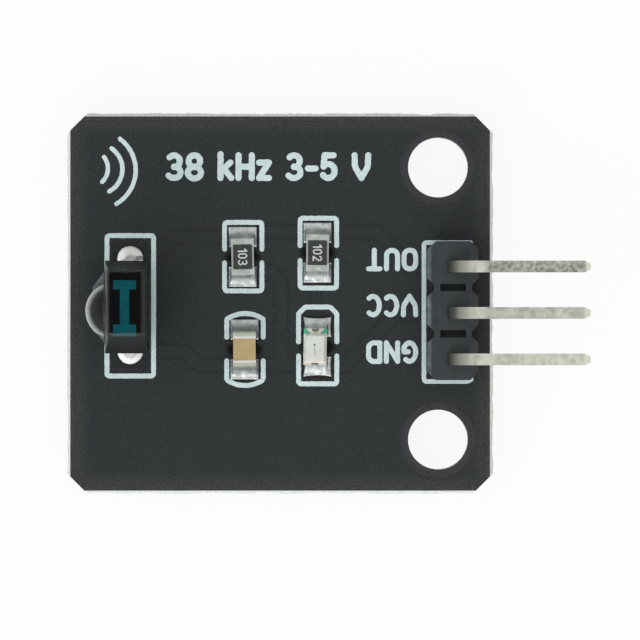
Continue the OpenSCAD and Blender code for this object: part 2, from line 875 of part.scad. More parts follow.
module capacitor_terminals() {
    color([0.70, 0.68, 0.62]) chip_place(capacitor_at, capacitor_turn) terminals(capacitor_h);
}
module capacitor_solder() {
    color([0.78, 0.78, 0.76]) chip_place(capacitor_at, capacitor_turn) chip_solder(0.6 * capacitor_h);
}

// The LED: a base with a plated half-round notch in each end, and a lens on top
module led_place() {
    chip_place(led_at, led_turn) translate([led_shift, 0, 0]) children();
}

// Moves what belongs to the LED's lens along its base
module lens_place() {
    led_place() translate([0, -led_lens_shift, led_base_h - plating_t]) children();
}

module led_notches(r) {
    for (s = [-1, 1]) translate([0, s * chip_l / 2]) circle(r);
}

module led_slab(l, grow) {
    intersection() {
        centred([chip_w, l]);
        difference() {
            centred([chip_w, chip_l - 2 * grow]);
            led_notches(led_notch_r + grow);
        }
    }
}

module led_base() {
    color([0.88, 0.86, 0.76]) led_place() translate([0, 0, plating_t])
        linear_extrude(led_base_h - 2 * plating_t) led_slab(chip_l, plating_t);
}

module led_terminals() {
    color([0.78, 0.72, 0.52]) led_place() difference() {
        linear_extrude(led_base_h) difference() {
            led_slab(chip_l, 0);
            centred([chip_w + 1, chip_l - 2 * terminal_l]);
        }
        translate([0, 0, plating_t]) linear_extrude(led_base_h - 2 * plating_t)
            led_slab(chip_l, plating_t);
        translate([0, -led_lens_shift, 0])
            block([chip_w + 1, led_lens_l + lens_gap, led_base_h], led_base_h - plating_t);
    }
}

// Profile of the lens, narrower at its top, l long at its foot
module lens_profile(l) {
    polygon([[-l / 2, 0], [l / 2, 0], [l / 2 - lens_draft, led_lens_h],
             [lens_draft - l / 2, led_lens_h]]);
}

module led_lens() {
    color([0.86, 0.88, 0.84]) lens_place() difference() {
        intersection() {
            translate([0, chip_l, 0]) rotate([90, 0, 0])
                linear_extrude(2 * chip_l) lens_profile(led_lens_w);
            translate([-chip_l, 0, 0]) rotate([90, 0, 90])
                linear_extrude(2 * chip_l) lens_profile(led_lens_l);
        }
        block([led_chip_w, led_chip_w, led_chip_t], 0);
    }
}

module led_chip() {
    color([0.8, 0.75, 0.3]) lens_place()
        block([led_chip_w, led_chip_w, led_chip_t], 0);
}

module led_polarity_marks() {
    color([0.15, 0.45, 0.28]) led_place()
    for (s = [-1, 1])
        translate([s * (chip_w - mark_w) / 2, (chip_l - mark_l) / 2, 0])
            block([mark_w, mark_l, mark_t], led_base_h);
}

module led_solder() {
    color([0.78, 0.78, 0.76]) chip_place(led_at, led_turn) chip_solder(0.8 * led_base_h);
}

board_core();
copper_top();
copper_bottom();
hole_barrels();
solder_mask_top();
solder_mask_bottom();
legend_frames();
header_housing();
header_pin_out();
header_pin_supply();
header_pin_ground();
header_solder();
receiver_body();
receiver_lead_out();
receiver_lead_ground();
receiver_lead_supply();
receiver_photodiode();
receiver_amplifier_chip();
receiver_solder();
pullup_resistor_ceramic();
pullup_resistor_cover();
pullup_resistor_terminals();
pullup_resistor_solder();
led_resistor_ceramic();
led_resistor_cover();
led_resistor_terminals();
led_resistor_solder();
capacitor_ceramic();
capacitor_terminals();
capacitor_solder();
led_base();
led_terminals();
led_lens();
led_chip();
led_polarity_marks();
led_solder();
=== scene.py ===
"""Dresses the infrared receiver board: finishes, ink, solder and the tinted epoxy."""
import math
import random

import bmesh
import bpy
from mathutils import Matrix, Vector, noise


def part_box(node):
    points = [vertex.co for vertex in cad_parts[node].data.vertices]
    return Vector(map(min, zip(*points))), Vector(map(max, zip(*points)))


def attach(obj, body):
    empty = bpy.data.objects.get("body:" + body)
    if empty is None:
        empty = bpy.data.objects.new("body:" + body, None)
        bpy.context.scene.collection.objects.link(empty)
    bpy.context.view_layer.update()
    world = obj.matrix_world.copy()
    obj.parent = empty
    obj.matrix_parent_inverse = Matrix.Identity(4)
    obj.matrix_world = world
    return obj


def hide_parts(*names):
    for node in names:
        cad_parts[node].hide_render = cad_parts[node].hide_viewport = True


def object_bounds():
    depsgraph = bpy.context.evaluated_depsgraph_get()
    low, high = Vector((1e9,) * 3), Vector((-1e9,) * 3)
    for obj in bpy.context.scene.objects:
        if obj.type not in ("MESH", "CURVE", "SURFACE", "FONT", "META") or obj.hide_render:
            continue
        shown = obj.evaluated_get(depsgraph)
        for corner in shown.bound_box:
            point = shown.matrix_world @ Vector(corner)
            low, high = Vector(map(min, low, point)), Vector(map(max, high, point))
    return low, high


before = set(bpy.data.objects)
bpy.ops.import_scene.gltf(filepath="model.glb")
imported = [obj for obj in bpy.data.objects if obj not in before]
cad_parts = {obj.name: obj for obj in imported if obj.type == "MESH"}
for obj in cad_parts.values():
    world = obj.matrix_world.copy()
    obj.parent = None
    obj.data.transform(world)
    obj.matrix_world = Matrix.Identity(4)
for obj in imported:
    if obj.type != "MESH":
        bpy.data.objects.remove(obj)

CAD_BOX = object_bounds()
MM = 0.001

# Photograph: image scale and the point of the board under the middle of the frame
PX_PER_MM = 18.15
IMAGE_PX = 640
ORIGIN_PX = (438.0, 303.55)
CAMERA_DISTANCE = 480.0

# Board, in mm
BOARD_L = 23.5
BOARD_W = 21.0
BOARD_TOP = 1.6
CORE = (0.06, 1.54)
FOIL_TOP = 1.575
MID_X = -8.7
SCORE_DEPTH = 0.46
SCORE_INSET = 0.19
CORNER_CUT = 1.15
INK_T = 0.015
PITCH = 2.54
HOLE_R = 1.65
MOUNTING = [(0.0, 7.5), (0.0, -7.5)]
HEADER = [(0.8, -0.52 + k * PITCH) for k in (-1, 0, 1)]
RECEIVER = [(-16.96, -0.08 + k * PITCH) for k in (-1, 0, 1)]

# Chips, in mm, and the solder pads under them
CHIP_W = 1.27
CHIP_L = 2.0
TERMINAL_L = 0.4
PAD_W = 1.58
PAD_L = 1.15
PADS_SPAN = 3.34
TURNS = {"pullup_resistor": 1.5, "led_resistor": -0.5, "capacitor": 0.5, "led": -1.0}

# Receiver body: the foot of the lead plane, and its sizes
BODY_FOOT = Vector((-16.96, -0.2, 2.7))
BODY_FRONT = 1.27
BODY_TOP_FRONT = 1.12
BODY_BACK = 1.18
BODY_TOP_BACK = 1.04
BODY_HALF_W = 2.53
BODY_H = 6.5
SHOULDER_H = 3.8
SHOULDER_FAR = 0.53
SHOULDER_NEAR = 1.0
LENS = (-0.75, -0.2)
LENS_R = 1.6
LENS_TOP = 5.0


def photo_mm(u, v):
    """The place on the board, in mm, of a pixel of the photograph."""
    return Vector(((u - ORIGIN_PX[0]) / PX_PER_MM, (ORIGIN_PX[1] - v) / PX_PER_MM, 0.0))


def photo_line(*pixels):
    return [tuple(photo_mm(*p))[:2] for p in pixels]


def box_mm(node):
    low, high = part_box(node)
    return Vector(low) / MM, Vector(high) / MM


def middle(node):
    low, high = box_mm(node)
    return (low + high) / 2


# Node materials

class Finish:
    """Builds one node material step by step."""

    def __init__(self, name, **sockets):
        self.mat = bpy.data.materials.new(name)
        self.mat.use_nodes = True
        self.nodes = self.mat.node_tree.nodes
        self.links = self.mat.node_tree.links
        self.shader = self.nodes["Principled BSDF"]
        self.output = self.nodes["Material Output"]
        for key, value in sockets.items():
            self.shader.inputs[key.replace("_", " ")].default_value = value
        self.coords = self.nodes.new("ShaderNodeTexCoord").outputs["Object"]
        self.bumps = []

    def add(self, kind, **values):
        node = self.nodes.new(kind)
        for key, value in values.items():
            if key in node.inputs:
                node.inputs[key].default_value = value
            else:
                setattr(node, key, value)
        return node

    def noise(self, size_mm, detail=3.0, rough=0.5, stretch=None):
        node = self.add("ShaderNodeTexNoise", Detail=detail, Roughness=rough)
        node.inputs["Scale"].default_value = 1.0 / (size_mm * MM)
        source = self.coords
        if stretch:
            mapping = self.add("ShaderNodeMapping", Scale=stretch)
            self.links.new(source, mapping.inputs["Vector"])
            source = mapping.outputs["Vector"]
        self.links.new(source, node.inputs["Vector"])
        return node.outputs["Fac"]

    def cells(self, size_mm):
        node = self.add("ShaderNodeTexVoronoi")
        node.inputs["Scale"].default_value = 1.0 / (size_mm * MM)
        self.links.new(self.coords, node.inputs["Vector"])
        return node.outputs["Distance"]

    def ramp(self, source, stops):
        node = self.add("ShaderNodeValToRGB")
        ramp = node.color_ramp
        while len(ramp.elements) < len(stops):
            ramp.elements.new(0.5)
        for element, (place, value) in zip(ramp.elements, stops):
            element.position = place
            element.color = value if len(value) == 4 else (*value, 1.0)
        self.links.new(source, node.inputs["Fac"])
        return node.outputs["Color"]

    def grey(self, source, low, high, start=0.3, stop=0.7):
        return self.ramp(source, [(start, (low,) * 3), (stop, (high,) * 3)])

    def mix(self, factor, a, b, blend="MIX"):
        node = self.add("ShaderNodeMix", data_type="RGBA", blend_type=blend)
        for socket, value in zip((node.inputs[0], node.inputs[6], node.inputs[7]), (factor, a, b)):
            if hasattr(value, "is_linked"):
                self.links.new(value, socket)
            elif isinstance(value, (int, float)):
                socket.default_value = value
            else:
                socket.default_value = (*value, 1.0)
        return node.outputs[2]

    def sum(self, operation, a, b=0.0):
        node = self.add("ShaderNodeMath", operation=operation)
        for socket, value in zip(node.inputs, (a, b)):
            if isinstance(value, (int, float)):
                socket.default_value = value
            else:
                self.links.new(value, socket)
        return node.outputs["Value"]

    def along(self, axis):
        split = self.add("ShaderNodeSeparateXYZ")
        self.links.new(self.coords, split.inputs["Vector"])
        return split.outputs[axis]

    def facing(self, axis="Z"):
        split = self.add("ShaderNodeSeparateXYZ")
        self.links.new(self.add("ShaderNodeNewGeometry").outputs["Normal"], split.inputs["Vector"])
        return split.outputs[axis]

    def between(self, source, low, high):
        node = self.add("ShaderNodeMapRange")
        node.inputs["From Min"].default_value = low
        node.inputs["From Max"].default_value = high
        self.links.new(source, node.inputs["Value"])
        return node.outputs["Result"]

    def spot(self, centre, size):
        """1 inside an ellipse about centre, in mm, falling to 0 past its edge."""
        moved = self.add("ShaderNodeMapping")
        moved.inputs["Location"].default_value = (-centre[0] / size[0], -centre[1] / size[1], 0.0)
        moved.inputs["Scale"].default_value = (1 / (size[0] * MM), 1 / (size[1] * MM), 0.0)
        self.links.new(self.coords, moved.inputs["Vector"])
        length = self.add("ShaderNodeVectorMath", operation="LENGTH")
        self.links.new(moved.outputs["Vector"], length.inputs[0])
        return self.between(length.outputs["Value"], 1.15, 0.85)

    def set(self, socket, source):
        self.links.new(source, self.shader.inputs[socket])

    def bump(self, source, depth_mm, strength=1.0):
        node = self.add("ShaderNodeBump", Strength=strength, Distance=depth_mm * MM)
        self.links.new(source, node.inputs["Height"])
        if self.bumps:
            self.links.new(self.bumps[-1].outputs["Normal"], node.inputs["Normal"])
        self.bumps.append(node)
        self.links.new(node.outputs["Normal"], self.shader.inputs["Normal"])


def mask_finish():
    f = Finish("solder_mask_finish", Roughness=0.5)
    tone = f.ramp(f.noise(1.6, 4.0, 0.6), [(0.3, (0.0072, 0.0115, 0.0135)), (0.7, (0.0105, 0.0155, 0.0175))])
    bare = f.ramp(f.noise(0.5, 3.0), [(0.3, (0.0055, 0.0085, 0.0105)), (0.7, (0.0080, 0.0115, 0.0135))])
    raised = f.between(f.along("Z"), 1.575 * MM, 1.59 * MM)
    colour = f.mix(raised, bare, tone)
    past_x = f.sum("SUBTRACT", f.sum("ABSOLUTE", f.sum("SUBTRACT", f.along("X"), MID_X * MM)), (BOARD_L / 2) * MM)
    past_y = f.sum("SUBTRACT", f.sum("ABSOLUTE", f.along("Y")), (BOARD_W / 2) * MM)
    rim = f.between(f.sum("MAXIMUM", past_x, past_y), -1.3 * MM, -0.3 * MM)
    colour = f.mix(rim, colour, f.mix(0.8, colour, (0.034, 0.038, 0.033)))
    for x, y in MOUNTING:
        colour = f.mix(f.sum("MULTIPLY", f.spot((x, y), (2.1, 2.1)), 0.8), colour, (0.032, 0.031, 0.035))
    # Painted shade: near-black ellipses in the gaps beside each chip.
    dark = None
    for node in ("pullup_resistor_solder", "led_resistor_solder", "capacitor_solder", "led_solder"):
        spot = f.spot(middle(node), (0.94, 0.46))
        dark = f.sum("MAXIMUM", dark, spot) if dark else spot
    dark = f.sum("MULTIPLY", dark, f.sum("MULTIPLY", f.between(f.along("Z"), 1.50 * MM, 1.55 * MM), 0.72))
    colour = f.mix(dark, colour, (0.001, 0.002, 0.002))
    specks = f.ramp(f.noise(0.16, 2.0, 0.9), [(0.62, (0.0,) * 3), (0.72, (1.0,) * 3)])
    pits = f.ramp(f.noise(0.24, 3.0, 0.8), [(0.30, (1.0,) * 3), (0.42, (0.0,) * 3)])
    colour = f.mix(f.sum("MULTIPLY", pits, 0.5), colour, (0.004, 0.006, 0.007))
    grain = f.grey(f.noise(0.09, 2.0, 0.8), 0.1, 1.9)
    colour = f.mix(0.8, colour, grain, "MULTIPLY")
    f.set("Base Color", f.mix(specks, colour, (0.034, 0.040, 0.040)))
    # The painted shade beside the chips also turns down the mask's reflection there.
    f.set("Specular IOR Level", f.sum("MULTIPLY", f.between(dark, 1.0, 0.0), 0.45))
    f.set("Roughness", f.grey(f.noise(0.3, 3.0), 0.42, 0.56))
    f.bump(f.noise(0.12, 3.0, 0.6), 0.004, 0.5)
    f.bump(f.noise(0.9, 2.0), 0.012, 0.3)
    return f.mat


def laminate_finish():
    f = Finish("laminate_finish", Roughness=0.75)
    fibre = f.noise(0.12, 4.0, 0.7, stretch=(1.0, 1.0, 0.35))
    edge = f.ramp(fibre, [(0.3, (0.56, 0.60, 0.57)), (0.7, (0.86, 0.88, 0.85))])
    # Painted shade: the laminate's top face, seen only in the mask's gaps, is coloured near black.
    f.set("Base Color", f.mix(f.between(f.along("Z"), 1.528 * MM, 1.536 * MM), edge, (0.01, 0.01, 0.008)))
    f.bump(fibre, 0.05, 0.7)
    f.bump(f.cells(0.25), 0.03, 0.4)
    return f.mat


def ink_finish():
    f = Finish("white_ink_finish", Roughness=0.6)
    f.set("Base Color", f.ramp(f.noise(0.25, 4.0, 0.7), [(0.3, (0.55, 0.69, 0.69)), (0.7, (0.72, 0.84, 0.85))]))
    f.bump(f.noise(0.08, 3.0), 0.006, 0.6)
    return f.mat


def metal_finish(name, colour, dark, rough=0.25, size=0.3, pits=0.006):
    f = Finish(name, Metallic=1.0, Roughness=rough)
    f.set("Base Color", f.ramp(f.noise(size, 4.0, 0.65), [(0.35, dark), (0.65, colour)]))
    f.set("Roughness", f.grey(f.noise(size * 0.6, 3.0), rough * 0.8, rough * 1.5))
    f.bump(f.noise(size * 0.35, 3.0), pits, 0.5)
    return f.mat


def fillet_finish():
    """Solder with painted light where it is low and painted shade where it climbs a chip."""
    f = Finish("fillet_finish", Metallic=1.0, Roughness=0.4)
    patches = f.noise(0.45, 4.0, 0.65)
    low = f.ramp(patches, [(0.35, (0.46, 0.49, 0.48)), (0.65, (0.76, 0.79, 0.78))])
    high = f.ramp(patches, [(0.35, (0.26, 0.29, 0.28)), (0.65, (0.46, 0.49, 0.47))])
    # Painted shade: a grey patch in the middle of one fillet's low solder.
    low = f.mix(f.sum("MULTIPLY", f.spot(photo_mm(243.5, 279.0), (0.52, 0.24)), 0.6), low, (0.36, 0.39, 0.38))
    # Painted light and shade: brighter solder low down, greyer solder high up the chips.
    f.set("Base Color", f.mix(f.between(f.along("Z"), 1.72 * MM, 1.84 * MM), low, high))
    f.set("Roughness", f.grey(f.noise(0.3, 3.0), 0.30, 0.48))
    f.bump(f.noise(0.18, 3.0), 0.006, 0.4)
    return f.mat


def joint_finish():
    """Solder on the leaded joints, with painted shade over the wire's end, and one dark spot on the +Y joint beside
    the body.
    """
    f = Finish("joint_finish", Metallic=1.0, Roughness=0.3)
    colour = f.ramp(f.noise(0.45, 4.0, 0.65), [(0.35, (0.74, 0.75, 0.73)), (0.65, (0.92, 0.92, 0.90))])
    # Painted shade: each dome greyed over its wire's end.
    for x, y in RECEIVER:
        colour = f.mix(f.sum("MULTIPLY", f.spot((x, y - 0.12), (0.34, 0.26)), 0.6), colour, (0.34, 0.35, 0.33))
    # A dark spot on the +Y joint, beside the body.
    colour = f.mix(f.sum("MULTIPLY", f.spot(photo_mm(139.5, 258.0), (0.22, 0.13)), 0.8), colour, (0.10, 0.11, 0.10))
    f.set("Base Color", colour)
    f.set("Roughness", f.grey(f.noise(0.3, 3.0), 0.26, 0.40))
    f.bump(f.noise(0.18, 3.0), 0.006, 0.4)
    return f.mat


def pin_finish():
    """Plating that is bright at the bend, and duller and mottled on the +Y pin."""
    f = Finish("pin_finish", Metallic=1.0, Roughness=0.3)
    clean = f.ramp(f.noise(1.2, 3.0, 0.5), [(0.35, (0.89, 0.89, 0.75)), (0.65, (0.93, 0.93, 0.79))])
    dull = f.ramp(f.noise(0.24, 4.0, 0.6), [(0.36, (0.34, 0.34, 0.30)), (0.64, (0.76, 0.76, 0.67))])
    middling = f.ramp(f.noise(0.3, 4.0, 0.6), [(0.3, (0.72, 0.72, 0.63)), (0.7, (0.86, 0.86, 0.75))])
    colour = f.mix(f.between(f.along("Y"), -2.2 * MM, -1.2 * MM), clean, middling)
    colour = f.mix(f.between(f.along("Y"), 0.5 * MM, 1.2 * MM), colour, dull)
    bend = f.between(f.along("X"), 2.75 * MM, 2.4 * MM)
    tip = f.between(f.along("X"), 8.0 * MM, 8.1 * MM)
    colour = f.mix(f.sum("MAXIMUM", bend, tip), colour, (0.90, 0.89, 0.77))
    shade = f.ramp(f.between(f.along("X"), 1.0 * MM, 2.15 * MM),
                   [(0.0, (0.24,) * 3), (0.45, (0.40,) * 3), (0.8, (0.85,) * 3), (1.0, (1.0,) * 3)])
    f.set("Base Color", f.mix(1.0, colour, shade, "MULTIPLY"))
    f.set("Roughness", f.grey(f.noise(0.3, 3.0), 0.30, 0.42))
    f.bump(f.noise(0.3, 2.0), 0.001, 0.3)
    return f.mat


def copper_finish():
    """Foil that shows only in the mask's openings, coloured near black there."""
    f = Finish("copper_finish", Metallic=0.6, Roughness=0.6)
    f.set("Base Color", f.ramp(f.noise(0.3, 3.0), [(0.3, (0.012, 0.010, 0.008)), (0.7, (0.035, 0.026, 0.020))]))
    return f.mat


def plastic_finish(name, low, high, rough=0.45, grain=0.05, depth=0.006):
    f = Finish(name, Roughness=rough)
    f.set("Base Color", f.ramp(f.noise(0.8, 4.0, 0.6), [(0.3, low), (0.7, high)]))
    f.set("Roughness", f.grey(f.noise(0.4, 3.0), rough * 0.85, rough * 1.2))
    f.bump(f.noise(grain, 3.0, 0.6), depth, 0.6)
    return f.mat


def header_finish():
    """Moulded plastic: painted light on its -X edges and on the floors of its slots, painted shade on faces turned to
    +X.
    """
    f = Finish("header_plastic_finish", Roughness=0.5)
    tone = f.ramp(f.noise(0.8, 4.0, 0.6), [(0.3, (0.018, 0.026, 0.030)), (0.7, (0.027, 0.036, 0.040))])
    side = f.facing("X")
    # Painted shade: faces turned to +X are darker.
    tone = f.mix(f.between(side, 0.05, 0.25), tone, (0.012, 0.016, 0.017))
    near, far = box_mm("header_housing")
    # Painted highlight: a lighter, patchy strip on the bevels facing -X.
    lit_left_bevel = f.sum("MULTIPLY", f.between(side, -0.05, -0.2), f.between(f.along("X"), (near.x + 0.26) * MM, (near.x + 0.12) * MM))
    patchy = f.grey(f.noise(0.5, 3.0), 0.2, 1.0)
    tone = f.mix(f.sum("MULTIPLY", lit_left_bevel, patchy), tone, (0.16, 0.185, 0.185))
    top = far.z
    # Painted light: upward faces low in the slots are lighter.
    floor = f.sum("MULTIPLY", f.between(f.facing(), 0.8, 0.9), f.between(f.along("Z"), (top - 0.4) * MM, (top - 0.5) * MM))
    f.set("Base Color", f.mix(floor, tone, (0.07, 0.085, 0.095)))
    f.set("Roughness", f.grey(f.noise(0.4, 3.0), 0.43, 0.6))
    f.bump(f.noise(0.05, 3.0, 0.6), 0.006, 0.6)
    return f.mat


def resin_finish():
    """Frosted clear resin, warmer at its -Y end, with light gathering in its sides."""
    f = Finish("clear_resin_finish", Roughness=0.35)
    face = f.ramp(f.noise(0.5, 4.0, 0.6), [(0.3, (0.66, 0.70, 0.65)), (0.7, (0.74, 0.79, 0.73))])
    centre = middle("led_lens")
    warm = f.between(f.along("Y"), (centre.y - 0.35) * MM, (centre.y - 0.75) * MM)
    face = f.mix(f.sum("MULTIPLY", warm, 0.7), face, (0.80, 0.76, 0.60))
    f.set("Base Color", f.mix(f.between(f.facing(), 0.9, 0.5), face, (0.90, 0.92, 0.86)))
    f.bump(f.noise(0.1, 3.0), 0.003, 0.4)
    return f.mat


def capacitor_tin_finish():
    """Plating with a painted highlight beside the body, greying towards the ends, and painted shade at its very ends.
    """
    f = Finish("capacitor_tin_finish", Metallic=0.8, Roughness=0.4)
    low, high = box_mm("capacitor_terminals")
    half = (high.y - low.y) / 2
    out_by = f.sum("ABSOLUTE", f.sum("SUBTRACT", f.along("Y"), (low.y + half) * MM))
    wave = f.sum("MULTIPLY", f.noise(0.4, 3.0), 0.12 * MM)
    place = f.between(f.sum("ADD", out_by, wave), (half - 0.36) * MM, (half + 0.02) * MM)
    # Painted highlight near 0.22 beside the body, painted shade at 1.0 at the very end.
    f.set("Base Color", f.ramp(place, [(0.0, (0.80, 0.82, 0.76)), (0.22, (1.0, 1.0, 0.93)), (0.4, (0.66, 0.70, 0.58)),
                                       (0.85, (0.56, 0.61, 0.48)), (1.0, (0.28, 0.31, 0.22))]))
    f.bump(f.noise(0.2, 3.0), 0.006, 0.5)
    return f.mat


def shield_finish():
    """The ground lead, with painted shade where it is folded into a shield inside the tint: darker and bluer there.
    """
    f = Finish("shield_finish", Metallic=1.0, Roughness=0.35)
    dark = f.ramp(f.noise(0.5, 3.0), [(0.3, (0.34, 0.44, 0.52)), (0.7, (0.46, 0.56, 0.64))])
    bright = f.ramp(f.noise(0.3, 3.0), [(0.3, (0.60, 0.61, 0.60)), (0.7, (0.78, 0.80, 0.79))])
    # Painted shade: above 3.2 mm, inside the epoxy, the lead is darker and bluer.
    f.set("Base Color", f.mix(f.between(f.along("Z"), 2.7 * MM, 3.2 * MM), bright, dark))
    return f.mat


def epoxy_finish():
    """Tinted epoxy: its flat top and its lens polished, its slopes and edges matt, with painted light on the lens's
    rim and ledges and painted shade dimming the dome's reflection.
    """
    f = Finish("tinted_epoxy_finish", Base_Color=(0.93, 1.0, 1.0, 1.0), Roughness=0.04, IOR=1.52,
               Transmission_Weight=1.0)
    volume = f.add("ShaderNodeVolumeAbsorption", Density=8000.0)
    volume.inputs["Color"].default_value = (0.1, 0.80, 0.81, 1.0)
    f.links.new(volume.outputs["Volume"], f.output.inputs["Volume"])
    corner = 0.3
    low = photo_mm(111.0, 335.6)
    high = photo_mm(145.0, 270.0)
    centre = (low + high) / 2
    half = (high - low) / 2
    beyond = []
    for axis, at, reach in (("X", centre.x, half.x), ("Y", centre.y, half.y)):
        off = f.sum("ABSOLUTE", f.sum("SUBTRACT", f.along(axis), at * MM))
        beyond.append(f.sum("MAXIMUM", f.sum("SUBTRACT", off, (reach - corner) * MM), 0.0))
    squares = f.sum("ADD", f.sum("POWER", beyond[0], 2.0), f.sum("POWER", beyond[1], 2.0))
    matt = f.between(f.sum("SQRT", squares), (corner - 0.18) * MM, (corner + 0.04) * MM)
    lens = f.between(f.along("X"), -18.25 * MM, -18.35 * MM)
    steep = f.between(f.facing(), 0.60, 0.25)
    rough = f.mix(matt, (0.03,) * 3, (0.42,) * 3)
    rough = f.mix(lens, rough, (0.06,) * 3)
    f.set("Roughness", rough)
    # Painted light: the lens's steep upper faces, and more weakly its low upward ledges, are coloured light grey and
    # made less clear.
    rim = f.sum("MULTIPLY", steep, f.between(f.along("Z"), 6.04 * MM, 6.12 * MM))
    ledge = f.sum("MULTIPLY", f.between(f.along("Z"), 6.04 * MM, 6.01 * MM), f.between(f.facing(), 0.8, 0.9))
    lit_rim = f.sum("MULTIPLY", lens, f.sum("MAXIMUM", rim, f.sum("MULTIPLY", ledge, 0.35)))
    f.set("Base Color", f.mix(lit_rim, (0.93, 1.0, 1.0), (0.34, 0.39, 0.40)))
    f.set("Transmission Weight", f.sum("MULTIPLY", f.between(lit_rim, 1.6, 0.0), 0.9955))
    # Painted shade: the reflection on the dome's upper faces is dimmed by the specular tint.
    dimmed_gloss = f.sum("MULTIPLY", lens, f.between(f.facing(), 0.3, 0.6))
    f.set("Specular Tint", f.mix(dimmed_gloss, (1.0,) * 3, (0.4,) * 3))
    f.bump(f.noise(0.08, 3.0), 0.002, 0.3)
    return f.mat


def dress(node, material, bevel=0.0, segments=2):
    """Gives a CAD node its finish, and rounds its edges by bevel mm."""
    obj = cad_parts[node]
    if not obj.material_slots:
        obj.data.materials.append(material)
    for place in obj.material_slots:
        place.link = "OBJECT"
        place.material = material
    if bevel:
        mod = obj.modifiers.new("rounded_edges", "BEVEL")
        mod.width = bevel * MM
        mod.segments = segments
        mod.limit_method = "ANGLE"
        mod.angle_limit = math.radians(35)
        mod.harden_normals = False
    return obj


# Meshes

def place_mesh(name, mesh, material, nodes=()):
    """A new piece riding on the board, in place of nodes."""
    obj = bpy.data.objects.new(name, mesh)
    bpy.context.scene.collection.objects.link(obj)
    obj.data.materials.clear()
    obj.data.materials.append(material)
    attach(obj, "root")
    if nodes:
        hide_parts(*nodes)
    return obj


def piece(name, verts, faces, material, smooth=True, nodes=()):
    """A new piece from points in mm."""
    mesh = bpy.data.meshes.new(name)
    mesh.from_pydata([Vector(v) * MM for v in verts], [], faces)
    bm = bmesh.new()
    bm.from_mesh(mesh)
    bmesh.ops.recalc_face_normals(bm, faces=bm.faces)
    bm.to_mesh(mesh)
    bm.free()
    mesh.polygons.foreach_set("use_smooth", [smooth] * len(mesh.polygons))
    return place_mesh(name, mesh, material, nodes)


class Builder:
    """Collects the points and faces of several parts of one piece."""

    def __init__(self):
        self.verts = []
        self.faces = []
        self.strokes = 0

    def grid(self, rows, closed=False):
        """Faces over rows of points; closed joins each row's ends."""
        start = len(self.verts)
        width = len(rows[0])
        for row in rows:
            self.verts.extend(row)
        across = width if closed else width - 1
        for i in range(len(rows) - 1):
            for j in range(across):
                a = start + i * width + j
                b = start + i * width + (j + 1) % width
                self.faces.append((a, b, b + width, a + width))
        return start

    def cap(self, start, count):
        self.faces.append(tuple(range(start, start + count)))

    def solid_field(self, rows, floor):
        """A height field closed by its sides and a flat floor."""
        edge = rows[0] + [r[-1] for r in rows[1:-1]] + rows[-1][::-1] + [r[0] for r in rows[-2:0:-1]]
        self.grid(rows)
        wall = [list(edge), [Vector((p[0], p[1], floor)) for p in edge]]
        start = self.grid(wall, closed=True)
        self.cap(start + len(edge), len(edge))


# Board

def board_outline(inset):
    """Corners of the board set in by inset on its four scored sides."""
    l = BOARD_L / 2 - inset
    w = BOARD_W / 2 - inset
    c = CORNER_CUT - 2 * inset
    return [(MID_X + x, y) for x, y in ((l, c - w), (l, w - c), (l - c, w), (c - l, w),
                                        (-l, w - c), (-l, c - w), (c - l, -w), (l - c, -w))]


def snapped_core(material):
    """The laminate, with fibres torn along the edges where it was snapped off."""
    levels = [(CORE[0], SCORE_INSET, 0.0), (CORE[0] + SCORE_DEPTH, 0.0, 1.0), (0.8, 0.0, 1.0),
              (CORE[1] - SCORE_DEPTH, 0.0, 1.0), (CORE[1], SCORE_INSET, 0.0)]
    counts = [130, 6, 150, 6, 130, 6, 150, 6]
    bm = bmesh.new()
    rows = []
    for z, inset, torn in levels:
        corners = board_outline(inset)
        row = []
        for k, count in enumerate(counts):
            a = Vector(corners[k])
            b = Vector(corners[(k + 1) % 8])
            inward = Vector((a.y - b.y, b.x - a.x)).normalized()
            for i in range(count):
                p = a.lerp(b, i / count)
                if torn and k % 2 == 0:
                    chip = noise.noise(Vector((p.x * 0.9, p.y * 0.9, z * 2)))
                    fine = noise.noise(Vector((p.x * 4.2, p.y * 4.2, z * 5 + 9)))
                    p = p + inward * min(max(0.045 + 0.10 * chip + 0.05 * fine, 0.0), 0.13)
                row.append(bm.verts.new(Vector((p.x, p.y, z)) * MM))
        rows.append(row)
    rims = [[rows[0]], [rows[-1]]]
    for row_a, row_b in zip(rows, rows[1:]):
        for j in range(len(row_a)):
            k = (j + 1) % len(row_a)
            bm.faces.new((row_a[j], row_a[k], row_b[k], row_b[j]))
    holes = [(p, HOLE_R) for p in MOUNTING] + [(p, 0.58) for p in HEADER] + [(p, 0.53) for p in RECEIVER]
    for (x, y), r in holes:
        rings = []
        for z in CORE:
            rings.append([bm.verts.new(Vector((x + r * math.cos(t), y + r * math.sin(t), z)) * MM)
                          for t in [2 * math.pi * i / 64 for i in range(64)]])
        for j in range(64):
            k = (j + 1) % 64
            bm.faces.new((rings[0][k], rings[0][j], rings[1][j], rings[1][k]))
        rims[0].append(rings[0])
        rims[1].append(rings[1])
    for rim in rims:
        edges = []
        for ring in rim:
            for a, b in zip(ring, ring[1:] + ring[:1]):
                edges.append(bm.edges.get((a, b)) or bm.edges.new((a, b)))
        bmesh.ops.triangle_fill(bm, use_beauty=True, edges=edges)
    bmesh.ops.recalc_face_normals(bm, faces=bm.faces)
    mesh = bpy.data.meshes.new("torn_laminate")
    bm.to_mesh(mesh)
    bm.free()
    place_mesh("torn_laminate", mesh, material, ("board_core",))


# Ink

